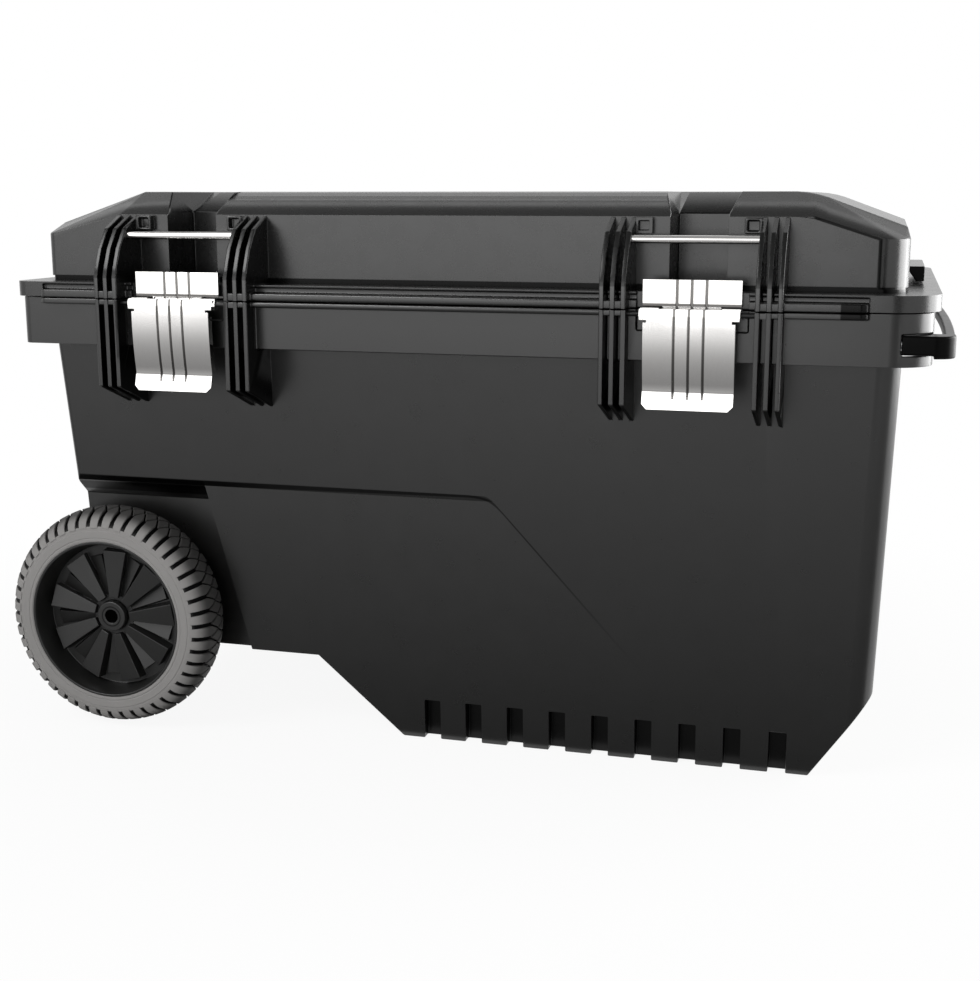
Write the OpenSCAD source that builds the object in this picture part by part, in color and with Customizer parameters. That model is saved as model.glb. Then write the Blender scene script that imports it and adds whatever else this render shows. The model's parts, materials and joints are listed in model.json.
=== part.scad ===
// Rolling jobsite storage box: a moulded tub on two wheels, a hinged lid held by two steel latches,
// and a pull handle that slides out of the rim at the end away from the wheels.
// The origin is on the floor under the middle of the box. X runs along the box towards the pull handle,
// the latches face -Y, and Z is up.

/* [Overall] */
// Height from the floor to the top of the lid
box_h = 420; // [410:1:440]
// Depth of the lid flange, front to back
flange_d = 430; // [420:1:450]
// X of the lid flange's end over the wheels
flange_x0 = -336.5; // [-340:0.5:-334]
// X of the lid flange's end over the pull handle
flange_x1 = 346; // [342:0.5:347]
// Height of the lid, from the parting line to its top
lid_h = 78.5; // [75:0.5:82]

/* [Walls and corners] */
// Wall thickness of the tub
tub_wall = 4.5; // [4:0.1:5.5]
// Wall thickness of the lid
lid_wall = 4; // [3:0.1:5]
// Corner radius of the flange at the wheel end
flange_r0 = 10; // [8:0.5:14]
// Corner radius of the flange at the handle end
flange_r1 = 32; // [26:0.5:36]
// Corner radius of the tub and lid walls at the wheel end
wall_r0 = 6; // [5:0.5:10]
// Corner radius of the tub and lid walls at the handle end
wall_r1 = 17; // [12:0.5:20]
// Gap between the tub's top and the lid's underside
part_gap = 0.6; // [0.4:0.1:0.9]

/* [Tub] */
// X of the tub's wheel end at the parting line
tub_x0 = -323; // [-326:0.5:-320]
// X of the tub's handle end at the parting line
tub_x1 = 323.5; // [320:0.5:326]
// Distance of the tub's wall behind the flange's face, at the parting line
tub_inset = 25.3; // [24:0.1:28]
// How far the wheel end wall leans in, from the parting line to the floor
lean_x0 = 24; // [16:0.5:28]
// How far the handle end wall leans in, from the parting line to the floor
lean_x1 = 10.5; // [6:0.5:14]
// How far the front and back walls lean in, from the parting line to the floor
lean_y = 16.1; // [12:0.1:18]
// Height of the raised belly behind the wheels
belly_z = 61; // [56:0.5:66]
// X where the belly ends and the ramp to the foot begins
ramp_x0 = -109; // [-114:0.5:-100]
// X where the foot begins
foot_x0 = -39.4; // [-44:0.1:-36]
// X where the foot ends
foot_x1 = 272; // [268:0.5:274]
// Angle of the chamfer between the foot and the handle end
foot_chamfer_a = 55.8; // [50:0.1:60]
// Number of upright flutes along each foot edge
flute_count = 9; // [5:1:9]
// Distance between flutes
flute_pitch = 33.1; // [28:0.1:33.4]
// X of the first flute
flute_x0 = -15.4; // [-18:0.1:-12]
// Width of a flute
flute_w = 12.9; // [9:0.1:16]
// Depth of a flute into the wall at the floor
flute_d = 8; // [5:0.1:9]
// Height of a flute
flute_h = 31.5; // [24:0.5:34]

/* [Lower panel] */
// Height of the step above the lower panel
panel_z = 198; // [196:0.5:206]
// Depth of the step at its top
panel_step = 2.4; // [1.2:0.1:2.6]
// Height over which the step slopes in
panel_slope = 4.5; // [3:0.1:6]
// X where the step turns down
panel_x = 32; // [10:1:50]
// X where the step fades out
panel_fade_x = 160; // [140:1:190]
// Height where the step fades out
panel_fade_z = 58; // [50:1:70]
// Radius of the step's bend
panel_r = 14; // [8:1:20]

/* [Rim band] */
// Drop of the rim band's underside below the parting line
band_h = 35.7; // [33:0.1:39]
// How far the band's face lies behind the flange's face, front and back
band_inset_y = 1.5; // [1:0.1:2.5]
// How far the band's ends lie inside the flange's ends
band_inset_x = 4; // [3:0.1:5]
// Thickness of the band's skin
band_skin = 3.5; // [3:0.1:4]
// Height of the moulding bead over the parting line
bead_h = 5.7; // [4:0.1:7]
// Height of the bead under the parting line
tub_bead_h = 4.2; // [3:0.1:7]
// How far the bead stands out from the flange's face
bead_d = 7; // [4:0.1:9]
// X of the bead's end near the wheels
bead_x0 = -312; // [-320:1:-300]
// X of the bead's end near the pull handle
bead_x1 = 300; // [290:1:306]

/* [Lid] */
// X of the lid wall's end over the wheels
lid_x0 = -322.5; // [-325:0.5:-320]
// X of the lid wall's end over the pull handle
lid_x1 = 324; // [321:0.5:326]
// Distance of the lid's wall behind the flange's face, front and back
lid_inset = 28; // [26:0.5:30]
// Thickness of the lid flange at its edge
flange_t = 11.2; // [9:0.2:13]
// Depth of the shadow groove between the bead and the flange's top edge
rim_groove_d = 3; // [2:0.5:4]
// Thickness of the flange's top edge over that groove
rim_edge_t = 1.8; // [1.5:0.1:2.5]
// Depth of the step at the foot of the lid's wall
foot_step_d = 1.4; // [1:0.1:1.8]
// Height of that step
foot_step_h = 3.3; // [2:0.1:5]
// Height of the front wall's top crease below the lid's top
crease_drop = 17; // [14:0.5:20]
// How far the top's front edge lies behind the front wall
crease_back = 22; // [18:0.5:26]
// Length of the sloping shoulder at each end of the lid's top
shoulder_l = 66; // [58:1:74]
// Drop of the shoulder over its length
shoulder_drop = 23.5; // [20:0.5:27]
// Length of the grip lip on the end of the lid
lip_l = 120; // [90:1:150]

/* [Latch stations] */
// X of the station near the wheels
station_x0 = -199; // [-204:0.5:-196]
// Distance between the two stations
station_pitch = 382.5; // [376:0.5:386]
// Half distance between the centres of the innermost ribs
rib_x = 44.8; // [44:0.1:46]
// Distance between neighbouring ribs
rib_pitch = 7.6; // [6.5:0.1:8.5]
// Thickness of a rib
rib_t = 3.2; // [2.6:0.1:3.4]
// How far the ribs stand out from the flange's face
rib_out = 13; // [12:0.1:14]
// Drop of the ribs' lower ends below the parting line
rib_drop = 82.5; // [76:0.5:90]
// Drop below the parting line of the point where the ribs start to taper
rib_taper_drop = 65.5; // [56:0.5:70]
// Half width of the slot in the lid's front wall
slot_w = 20; // [16:0.5:22]
// Depth of that slot
slot_d = 43; // [34:1:48]
// Height of the slot's top below the lid's top
slot_drop = 15; // [13:0.5:16.5]
// Half width of the notch above the slot, at the lid's top
notch_w = 26; // [23:0.5:29]
// Distance over which the notch's floor rises to the lid's top
notch_run = 49; // [40:1:60]
// Radius of the steel bar across the ribs of a station
rod_r = 2.75; // [2.2:0.05:3.2]
// Drop of that bar below the lid's top
rod_drop = 32; // [30:0.5:34]
// Distance of the bar in front of the lid's front wall
rod_out = 19; // [17:0.5:20]

/* [Latches] */
// Drop of the latch pin below the parting line
latch_drop = 3; // [2:0.1:3.5]
// Distance of the latch pin in front of the flange's face
latch_out = 6.3; // [6.1:0.1:6.8]
// Radius of the latch pin
latch_pin_r = 1.75; // [1.5:0.05:1.9]
// Throw of the cam that lifts the hook plate
cam_throw = 2.2; // [1.8:0.1:2.3]
// Angle of the cam past its lowest point when shut
cam_past_a = 8; // [4:1:12]
// Radius of the cam
cam_r = 4.55; // [4.45:0.05:4.7]
// Thickness of the latch's steel sheet
sheet_t = 1.5; // [1.2:0.1:1.6]
// Width of the hook plate
hook_w = 67.3; // [60:0.1:70]
// Height of the hook plate's top above the latch pin
hook_h = 23; // [20:0.5:24]
// Width of the lever's face
lever_w = 62.2; // [56:0.1:66]
// Width of the lever's top, over its two barrels
lever_top_w = 67.6; // [62:0.1:74]
// Distance from the latch pin down to the finger tab's edge
lever_h = 64.2; // [58:0.2:68]
// Height of the finger tab
tab_h = 13.5; // [11:0.5:16]
// How far the tab flares out from the foot of the face
tab_flare = 3.8; // [2:0.1:5]
// Distance between the pressed grooves of the latch plates
groove_pitch = 10; // [8:0.5:12]
// Width of a pressed groove
groove_w = 1.8; // [1.2:0.1:2.4]
// Depth of a pressed groove
groove_d = 0.7; // [0.4:0.05:0.8]

/* [Hinges] */
// Distance between neighbouring hinges
hinge_pitch = 220; // [180:1:240]
// Height of the hinge axis above the parting line
hinge_up = 1.5; // [1:0.1:2]
// Distance of the hinge axis behind the flange's back face
hinge_out = 7.9; // [7.6:0.1:8.4]
// Outer radius of the hinge knuckles
knuckle_r = 6.4; // [6:0.1:6.6]
// Radius of the hinge pin
hinge_pin_r = 2.5; // [2:0.1:3]
// Width of the lid's knuckle
knuckle_w = 40; // [30:1:50]
// Width of each ear of the tub beside it
ear_w = 10; // [8:0.5:14]

/* [Wheels] */
// Diameter of the tyre over its tread
tyre_d = 175.5; // [172:0.5:178]
// Height of the tyres over the floor when the box stands on its foot
tyre_lift = 1.25; // [0.5:0.25:3]
// Width of the tyre
tyre_w = 45.7; // [42:0.1:48]
// Outer radius of the smooth ring on the tyre's side
side_r = 74; // [71:0.5:77]
// Radius of the wheel rim inside the tyre
rim_r = 63.2; // [60:0.1:66]
// X of the axle
axle_x = -272; // [-274:0.5:-270]
// Radius of the axle
axle_r = 6; // [5:0.1:7]
// Distance of the wheel wells' inner wall behind the flange's face
well_inset = 47; // [45:0.5:50]
// Height of the wheel well's ceiling
well_z = 196; // [192:0.5:196]
// X of the wheel well's sloping edge at its ceiling
well_x_top = -200.5; // [-202:0.5:-194]
// X of the wheel well's sloping edge at the belly's height
well_x_belly = -166; // [-170:0.5:-160]
// Number of tread lugs around a tyre
lug_count = 48; // [36:1:54]
// Number of blades of a wheel
blade_count = 9; // [7:1:11]
// Radius of the wheel's hub
hub_r = 17; // [15:0.5:18]
// Radius of the bush between wheel and axle
bush_r = 9; // [8:0.1:10]
// Gap between a wheel's hub and the washer on each side
hub_gap = 0.2; // [0.1:0.05:0.5]

/* [Pull handle] */
// Radius of the handle's two sliding tubes
tube_r = 4.5; // [4:0.1:4.8]
// Distance of the tubes behind the flange's face
tube_inset = 14; // [13.5:0.1:14.5]
// Drop of the tubes below the parting line
tube_drop = 21.1; // [20:0.1:23]
// X of the grip's outermost face at its middle
grip_x1 = 360; // [356:0.5:363]
// How much further the grip's middle reaches than its corners
grip_bow = 4; // [2:0.1:6]
// Radius of the grip's corners seen from above
grip_corner = 14; // [10:0.5:24]
// Thickness of the grip's bar from front to back
grip_t = 7.5; // [6:0.5:9]
// Height of the grip's ends
grip_end_h = 13; // [12:0.5:16]
// Width of the grip's ends
root_w = 22; // [20:0.5:22]
// Height of the grip's bar between the ends
grip_bar_h = 8; // [7:0.5:11]
// Drop of the bar's middle below the tubes
grip_bar_drop = 4.4; // [0:0.2:5]
// How far the handle slides out
handle_travel = 300; // [200:10:310]

/* [Fits] */
// Radial clearance of a turning or sliding fit
run_gap = 0.05; // [0.03:0.01:0.08]
// Radial clearance of a fixed fit
fix_gap = 0.02; // [0.01:0.01:0.05]
// Gap between solid pieces that lie beside each other
side_gap = 0.3; // [0.2:0.05:0.4]

/* [Hidden] */

plastic = "#3f3f3d";
rim_plastic = "#474745";
tyre_grey = "#84827e";
hub_black = "#2b2b2a";
steel = "#d8d8d6";
zinc = "#a9abad";
nylon = "#1e1e1e";
rubber = "#161616";

eps = 0.01;
far = 400;
corner_steps = 8;
flange_y = flange_d / 2;
tub_y = flange_y - tub_inset;
lid_y = flange_y - lid_inset;
part_z = box_h - lid_h;
tub_top_z = part_z - part_gap / 2;
lid_z0 = part_z + part_gap / 2;
flange_z1 = part_z + flange_t + 0.3;
crease_z = box_h - crease_drop;
shoulder_z = box_h - shoulder_drop;
band_y = flange_y - band_inset_y;
band_x0 = flange_x0 + band_inset_x;
band_x1 = flange_x1 - band_inset_x;
band_z0 = part_z - band_h;
stations = [station_x0, station_x0 + station_pitch];
rib_y = flange_y + rib_out;
rib_z0 = part_z - rib_drop;
rib_taper_z = part_z - rib_taper_drop;
well_y = flange_y - well_inset;
axle_z = tyre_d / 2 + tyre_lift;
ramp_a = atan2(belly_z, foot_x0 - ramp_x0);

// Half depth of the tub's outer wall at height z
function wall_y(z) = tub_y - lean_y * (tub_top_z - z) / tub_top_z;

// Points along an arc about a centre
function arc(c, r, a0, a1, n = corner_steps) =
    [for (i = [0:n]) c + r * [cos(a0 + (a1 - a0) * i / n), sin(a0 + (a1 - a0) * i / n)]];

// Outline seen from above, with its own corner radius at each end
function plan(x0, x1, y, r0, r1) = concat(
    arc([x1 - r1, y - r1], r1, 0, 90),
    arc([x0 + r0, y - r0], r0, 90, 180),
    arc([x0 + r0, r0 - y], r0, 180, 270),
    arc([x1 - r1, r1 - y], r1, 270, 360));

function flange_plan(d) =
    plan(flange_x0 + d, flange_x1 - d, flange_y - d, max(flange_r0 - d, 2), max(flange_r1 - d, 2));

function band_plan(d) =
    plan(band_x0 + d, band_x1 - d, band_y - d, max(flange_r0 - 2 - d, 2), max(flange_r1 - 3 - d, 2));

function lid_plan(d) =
    plan(lid_x0 + d, lid_x1 - d, lid_y - d, max(wall_r0 - d, 2), max(wall_r1 - d, 2));

module slab(points, z0, z1) {
    translate([0, 0, z0])
        linear_extrude(height = z1 - z0)
            polygon(points);
}

// An outline in X and Z, extruded along Y
module side_prism(points, y0, y1) {
    translate([0, y1, 0])
        rotate([90, 0, 0])
            linear_extrude(height = y1 - y0)
                polygon(points);
}

// An outline in Y and Z, extruded along X
module cross_prism(points, x0, x1) {
    translate([x0, 0, 0])
        rotate([90, 0, 90])
            linear_extrude(height = x1 - x0)
                polygon(points);
}

module block(x0, x1, y0, y1, z0, z1) {
    translate([x0, y0, z0])
        cube([x1 - x0, y1 - y0, z1 - z0]);
}

// A bar along X
module bar_x(r, x0, x1, y, z) {
    translate([x0, y, z])
        rotate([0, 90, 0])
            cylinder(r = r, h = x1 - x0, $fn = 48);
}

// A bar along Y
module bar_y(r, y0, y1, x, z) {
    translate([x, y1, z])
        rotate([90, 0, 0])
            cylinder(r = r, h = y1 - y0, $fn = 48);
}

// Both the front and the mirrored back copy
module front_and_back() {
    children();
    mirror([0, 1, 0])
        children();
}

// Tub

// Tapered block of the tub, with its walls moved in by w
module tub_block(w) {
    hull() {
        slab(plan(tub_x0 + lean_x0 + w, tub_x1 - lean_x1 - w, tub_y - lean_y - w,
                  max(wall_r0 - w, 2), max(wall_r1 - w, 2)), -eps, 0);
        slab(plan(tub_x0 + w, tub_x1 - w, tub_y - w, max(wall_r0 - w, 2), max(wall_r1 - w, 2)),
             tub_top_z - eps, tub_top_z);
    }
}

// Underside of the tub seen from the front, moved up by w
function underside(w) = [
    [-far, belly_z + w],
    [ramp_x0 + w * tan(ramp_a / 2), belly_z + w],
    [foot_x0 + w * tan(ramp_a / 2), w],
    [foot_x1 - w * tan(foot_chamfer_a / 2), w],
    [far, w + (far - foot_x1 + w * tan(foot_chamfer_a / 2)) * tan(foot_chamfer_a)],
    [far, box_h + far],
    [-far, box_h + far]
];

well_slope = (well_x_belly - well_x_top) / (well_z - belly_z);

// Wheel well seen from the front, grown by w
function well_side(w) = [
    [-far, -far / 2],
    [-far, well_z + w],
    [well_x_top + w * (1 - well_slope), well_z + w],
    [well_x_top + w * (1 - well_slope) + (well_z + w + far / 2) * well_slope, -far / 2]
];

// Run of the well's ceiling, which slopes up at half a right angle from the well's wall to the tub's face
well_run = wall_y(well_z) - well_y + 0.5;

module wheel_wells(w) {
    front_and_back()
        intersection() {
            side_prism(well_side(w), -far, -well_y + w);
            cross_prism([
                [-far, -far / 2],
                [-far, well_z + w],
                [-well_y - well_run + w * tan(22.5), well_z + w],
                [-well_y + w, well_z - well_run + w * tan(22.5)],
                [-well_y + w, -far / 2]
            ], -far, far);
        }
}

tunnel_w = 34;
tunnel_top = axle_z + 18;
cheek_t = 8;

// Channel under the belly in which the axle lies
module axle_tunnel(w) {
    block(axle_x - tunnel_w / 2 - w, axle_x + tunnel_w / 2 + w,
          -well_y + cheek_t - w, well_y - cheek_t + w, -far / 2, tunnel_top + w);
}

// Inside of the tub
module tub_cavity() {
    difference() {
        intersection() {
            tub_block(tub_wall);
            side_prism(underside(tub_wall), -far, far);
        }
        wheel_wells(tub_wall);
        axle_tunnel(tub_wall);
        front_and_back()
            block(foot_x0 - tub_wall, foot_x1 + tub_wall, -far / 2,
                  -(tub_y - lean_y - flute_d - tub_wall), -eps, flute_h + tub_wall);
    }
}

// Outline of the lower panel seen from the front, with the bend rounded
panel_a = atan2(panel_z - panel_fade_z, panel_fade_x - panel_x);
panel_t = panel_r * tan(panel_a / 2);
panel_side = concat(
    [[-far, panel_z]],
    [for (i = [corner_steps:-1:0])
        [panel_x - panel_t + panel_r * sin(panel_a * (1 - i / corner_steps)),
         panel_z - panel_r + panel_r * cos(panel_a * (1 - i / corner_steps))]],
    [[panel_fade_x, panel_fade_z], [-far, panel_fade_z]]);

// Sliver taken off the wall above the fade, deepest under the step
module lower_panel() {
    intersection() {
        side_prism(panel_side, -far, 0);
        cross_prism([
            [-far, panel_z],
            [-wall_y(panel_z), panel_z],
            [-wall_y(panel_z) + panel_step, panel_z - panel_slope],
            [-wall_y(panel_fade_z), panel_fade_z],
            [-far, panel_fade_z]
        ], -far, far);
    }
}

module foot_flutes() {
    for (i = [0:flute_count - 1])
        block(flute_x0 + i * flute_pitch - flute_w / 2, flute_x0 + i * flute_pitch + flute_w / 2,
              -far / 2, -(tub_y - lean_y - flute_d), -eps, flute_h);
}

// Ribs of one station, from a side outline in Y and Z
module station_ribs(points) {
    for (x = stations, side = [-1, 1], i = [0:2])
        translate([x + side * (rib_x + i * rib_pitch), 0, 0])
            cross_prism(points, -rib_t / 2, rib_t / 2);
}

// Filling between the ribs of one group where the bead runs through them
module station_fill(z0, z1) {
    for (x = stations, side = [-1, 1])
        block(x + side * (rib_x + rib_pitch) - rib_pitch, x + side * (rib_x + rib_pitch) + rib_pitch,
              -rib_y + 1, -flange_y + 2 * band_inset_y, z0, z1);
}

bead_round = 6;

// Bead along the front face, left open between the innermost ribs
module bead(z0, z1) {
    ends = [bead_x0, stations[0] - rib_x, stations[0] + rib_x, stations[1] - rib_x,
            stations[1] + rib_x, bead_x1];
    for (i = [0:2])
        block(ends[2 * i] + (i == 0 ? bead_round : 0), ends[2 * i + 1] - (i == 2 ? bead_round : 0),
              -flange_y - bead_d, -flange_y + 2 * band_inset_y, z0, z1);
    for (x = [bead_x0 + bead_round, bead_x1 - bead_round])
        translate([x, -flange_y - bead_d + bead_round, z0])
            cylinder(r = bead_round, h = z1 - z0, $fn = 48);
    for (x = [bead_x0, bead_x1 - bead_round])
        block(x, x + bead_round, -flange_y - bead_d + bead_round, -flange_y + 2 * band_inset_y, z0, z1);
}

latch_y = -flange_y - latch_out;
latch_z = part_z - latch_drop;
pocket_w = 38;
pocket_d = 4;
pocket_z = latch_z - 12;

// Shallow pocket behind each latch
module latch_pockets(z0, z1) {
    for (x = stations)
        block(x - pocket_w, x + pocket_w, -flange_y - bead_d - 1, -flange_y + pocket_d, z0, z1);
}

hinge_y = flange_y + hinge_out;
hinge_z = part_z + hinge_up;
hinges = [-hinge_pitch, 0, hinge_pitch];
ear_foot_drop = 35;

module hinge_ears() {
    for (x = hinges, side = [-1, 1])
        translate([x + side * (knuckle_w / 2 + side_gap + ear_w / 2), 0, 0]) {
            bar_x(knuckle_r, -ear_w / 2, ear_w / 2, hinge_y, hinge_z);
            cross_prism([
                [band_y - 1, part_z - ear_foot_drop],
                [hinge_y, part_z - ear_foot_drop + 6],
                [hinge_y + knuckle_r, hinge_z - 14],
                [hinge_y + knuckle_r, hinge_z],
                [hinge_y - knuckle_r, hinge_z],
                [hinge_y - knuckle_r, tub_top_z],
                [band_y - 1, tub_top_z]
            ], -ear_w / 2, ear_w / 2);
        }
}

module hinge_bores() {
    for (x = hinges)
        bar_x(hinge_pin_r + run_gap, x - knuckle_w, x + knuckle_w, hinge_y, hinge_z);
}

grip_root_x = 321;
mouth_gap = 0.6;

// Openings in the band's corners where the ends of the grip come out
module handle_mouths() {
    front_and_back()
        block(grip_root_x, far, -grip_y - mouth_gap, root_w - grip_y + mouth_gap,
              tube_z - grip_end_h / 2 - mouth_gap, tube_z + grip_end_h / 2 + mouth_gap);
}

guide_l = 16;
guide_xs = [225, 286];
guide_screw_r = 2;
guide_head_r = 3;
guide_head_h = 2;

module tub() {
    color(plastic)
    difference() {
        union() {
            intersection() {
                tub_block(0);
                side_prism(underside(0), -far, far);
            }
            difference() {
                slab(band_plan(0), band_z0, tub_top_z);
                difference() {
                    slab(band_plan(band_skin), band_z0 - 1, tub_top_z - 4);
                    tub_block(0);
                }
            }
            station_ribs([
                [-rib_y, tub_top_z], [-rib_y, rib_taper_z], [-wall_y(rib_z0) + 1, rib_z0],
                [-wall_y(rib_z0) + 2, band_z0 - 1], [-band_y + band_skin / 2, band_z0 - 1],
                [-band_y + band_skin / 2, tub_top_z]
            ]);
            station_fill(tub_top_z - tub_bead_h, tub_top_z);
            bead(tub_top_z - tub_bead_h, tub_top_z);
            hinge_ears();
            front_and_back()
                bar_y(hub_r - 2, -well_y - axle_boss, -well_y + 1, axle_x, axle_z);
        }
        tub_cavity();
        wheel_wells_but_bosses();
        axle_tunnel(0);
        front_and_back() {
            lower_panel();
            foot_flutes();
        }
        latch_pockets(pocket_z, box_h);
        for (x = stations)
            bar_x(latch_pin_r + fix_gap, x - rib_x - rib_t, x + rib_x + rib_t, latch_y, latch_z);
        hinge_bores();
        handle_mouths();
        bar_y(bush_r + fix_gap, -far, far, axle_x, axle_z);
        front_and_back()
            for (x = guide_xs)
                guide_screw_bars(guide_screw_r + fix_gap, x);
    }
}

// Lid

// Solid form of the lid above the flange, with every face moved in by w
module lid_block(w) {
    hull() {
        slab(lid_plan(w), lid_z0 - (w > 0 ? 1 : 0), crease_z - crease_drop * 0.85 - w);
        block(lid_x0 + shoulder_l - 1.5 + w / 2, lid_x1 - shoulder_l + 1.5 - w / 2, w - lid_y, lid_y - w,
              lid_z0, crease_z - w / 2);
        block(lid_x0 + 2.5 + w, lid_x1 - 2.5 - w, crease_back + w / 2 - lid_y, lid_y - crease_back - w / 2,
              lid_z0, shoulder_z - w);
        block(lid_x0 + shoulder_l + 8 + w / 3, lid_x1 - shoulder_l - w / 3, crease_back + w / 2 - lid_y,
              lid_y - crease_back - w / 2, lid_z0, box_h - w);
    }
}

// Slot and notch at one station, grown by w
module lid_recess(w) {
    slot_top = box_h - slot_drop;
    for (x = stations)
        translate([x, 0, 0]) {
            block(-slot_w - w, slot_w + w, -far, -lid_y + slot_d + w, flange_z1 - w, slot_top + w / 2);
            intersection() {
                side_prism([
                    [-slot_w - w, slot_top - 1], [slot_w + w, slot_top - 1], [slot_w + w, slot_top],
                    [notch_w + w, box_h], [notch_w + w, box_h + 1], [-notch_w - w, box_h + 1],
                    [-notch_w - w, box_h], [-slot_w - w, slot_top]
                ], -far, 0);
                cross_prism([
                    [-far, slot_top - 1 - w], [-lid_y + slot_d + w, slot_top - w],
                    [-lid_y + slot_d + notch_run + w, box_h - w],
                    [-lid_y + slot_d + notch_run + w, box_h + 1], [-far, box_h + 1]
                ], -far, far);
            }
        }
}

rib_foot_z = flange_z1 + 5;
rib_head_z = crease_z - 0.5;

// Corners of the ribs' front outline, as shares of their depth and of their height
rib_corners = [[1, 0], [0.95, 0.144], [0.795, 0.463], [0.53, 0.783], [0, 1]];

// Side outline of the lid's ribs: upright over the flange, then back to the crease in four flats
lid_rib = concat(
    [[-lid_y + 1, lid_z0], [-rib_y, lid_z0]],
    [for (c = rib_corners) [-lid_y - c[0] * (rib_y - lid_y), rib_foot_z + c[1] * (rib_head_z - rib_foot_z)]],
    [[-lid_y + 1, rib_head_z]]);

boss_w = 12;
boss_h = 11;
boss_d = 6;

// Small framed bosses beside the innermost ribs
module frame_bosses() {
    for (x = stations, side = [-1, 1])
        translate([x + side * (rib_x - rib_t / 2 - boss_w / 2 + 0.2), 0, crease_z - boss_h - 0.5])
            difference() {
                block(-boss_w / 2, boss_w / 2, -lid_y - boss_d, -lid_y + 1, 0, boss_h);
                block(-boss_w / 2 + 2, boss_w / 2 - 2, -lid_y - boss_d - 1, -lid_y - 1, 2, boss_h - 2);
            }
}

rod_y = -lid_y - rod_out;
rod_z = box_h - rod_drop;
lip_t = 2;
lip_out = 12;
lip_h = 11;
lip_z = flange_z1 + 13;

// Grip lip that hangs over the flange on the end of the lid
module end_lip() {
    side_prism([
        [lid_x1 - 2, lip_z], [lid_x1 + lip_out, lip_z], [lid_x1 + lip_out, lip_z - lip_h],
        [lid_x1 + lip_out / 2, lip_z - lip_h], [lid_x1 - 0.5, lip_z - lip_t], [lid_x1 - 2, lip_z - lip_t]
    ], -lip_l / 2 - 15, lip_l / 2 - 15);
}

module lid_knuckles() {
    for (x = hinges)
        translate([x, 0, 0]) {
            bar_x(knuckle_r, -knuckle_w / 2, knuckle_w / 2, hinge_y, hinge_z);
            cross_prism([
                [flange_y - 1, flange_z1 - 0.5], [flange_y - 1, lid_z0 + 3.5],
                [hinge_y - knuckle_r + 0.5, hinge_z], [hinge_y + knuckle_r - 0.5, hinge_z],
                [hinge_y + knuckle_r * 0.7, hinge_z + knuckle_r * 0.7], [hinge_y - 2, flange_z1 - 0.5]
            ], -knuckle_w / 2, knuckle_w / 2);
        }
}

seal_w = 6;
seal_in = flange_y - lid_y - 11;
seal_depth = 4;

// Ring that runs round the flange's underside, from inset d to inset d + width
module seal_ring(d, width, z0, z1) {
    difference() {
        slab(flange_plan(d), z0, z1);
        slab(flange_plan(d + width), z0 - 1, z1 + 1);
    }
}

// Shadow groove along the front of the flange, over the bead
module rim_groove() {
    block(bead_x0, bead_x1, -far, -flange_y + rim_groove_d, lid_z0 + bead_h, flange_z1 - rim_edge_t);
}

// Step round the foot of the lid's wall
module foot_step() {
    difference() {
        slab(flange_plan(-1), flange_z1, flange_z1 + foot_step_h);
        slab(lid_plan(foot_step_d), flange_z1 - 1, flange_z1 + foot_step_h + 1);
    }
}

module lid() {
    color(plastic)
    difference() {
        union() {
            difference() {
                union() {
                    lid_block(0);
                    slab(flange_plan(0), lid_z0, flange_z1);
                }
                rim_groove();
                foot_step();
            }
            station_ribs(lid_rib);
            station_fill(lid_z0, lid_z0 + bead_h);
            bead(lid_z0, lid_z0 + bead_h);
            frame_bosses();
            end_lip();
            lid_knuckles();
        }
        difference() {
            lid_block(lid_wall);
            lid_recess(lid_wall * 0.9);
        }
        lid_recess(0);
        latch_pockets(lid_z0 - 1, flange_z1 + 1);
        seal_ring(seal_in, seal_w, lid_z0 - 1, lid_z0 + seal_depth);
        for (x = stations)
            bar_x(rod_r + fix_gap, x - rib_x - rib_t, x + rib_x + rib_t, rod_y, rod_z);
        hinge_bores();
    }
}

module lid_gasket() {
    color(rubber)
        seal_ring(seal_in + side_gap, seal_w - 2 * side_gap, tub_top_z + side_gap, lid_z0 + seal_depth - 0.1);
}

module hinge_pins() {
    reach = knuckle_w / 2 + side_gap + ear_w - 1;
    color(zinc)
        for (x = hinges)
            bar_x(hinge_pin_r, x - reach, x + reach, hinge_y, hinge_z);
}

module lid_rods() {
    color(steel)
        for (x = stations)
            bar_x(rod_r, x - rib_x - rib_t / 2, x + rib_x + rib_t / 2, rod_y, rod_z);
}

// Latches

module latch_pins() {
    color(zinc)
        for (x = stations)
            bar_x(latch_pin_r, x - rib_x - rib_t / 2, x + rib_x + rib_t / 2, latch_y, latch_z);
}

cam_y = latch_y + cam_throw * sin(cam_past_a);
cam_z = latch_z - cam_throw * cos(cam_past_a);
cam_w = 42.6;
knuckle_t = 1.2;
face_out = cam_r + run_gap + knuckle_t + side_gap + sheet_t;
face_drop = 10;
face_r = 240;
face_foot = lever_h - tab_h;

// How far the lever's face stands out from the latch pin, at distance u below it
function face_at(u) =
    u < face_drop ? face_out :
    u < face_foot ? face_out - pow(u - face_drop, 2) / (2 * face_r) :
    face_out - pow(face_foot - face_drop, 2) / (2 * face_r) + tab_flare * (u - face_foot) / tab_h;

face_steps = 12;
top_up = 4;

// Lever face in Y and Z, from distance u0 below the pin to u1, from depth d0 behind the face to d1
function face_band(u0, u1, d0, d1) = concat(
    [for (i = [0:face_steps]) let (u = u0 + (u1 - u0) * i / face_steps)
        [latch_y - face_at(u) + d0, latch_z - u]],
    [for (i = [face_steps:-1:0]) let (u = u0 + (u1 - u0) * i / face_steps)
        [latch_y - face_at(u) + d1, latch_z - u]]);

lever_step = 4.5;
tab_round = 5;

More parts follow.
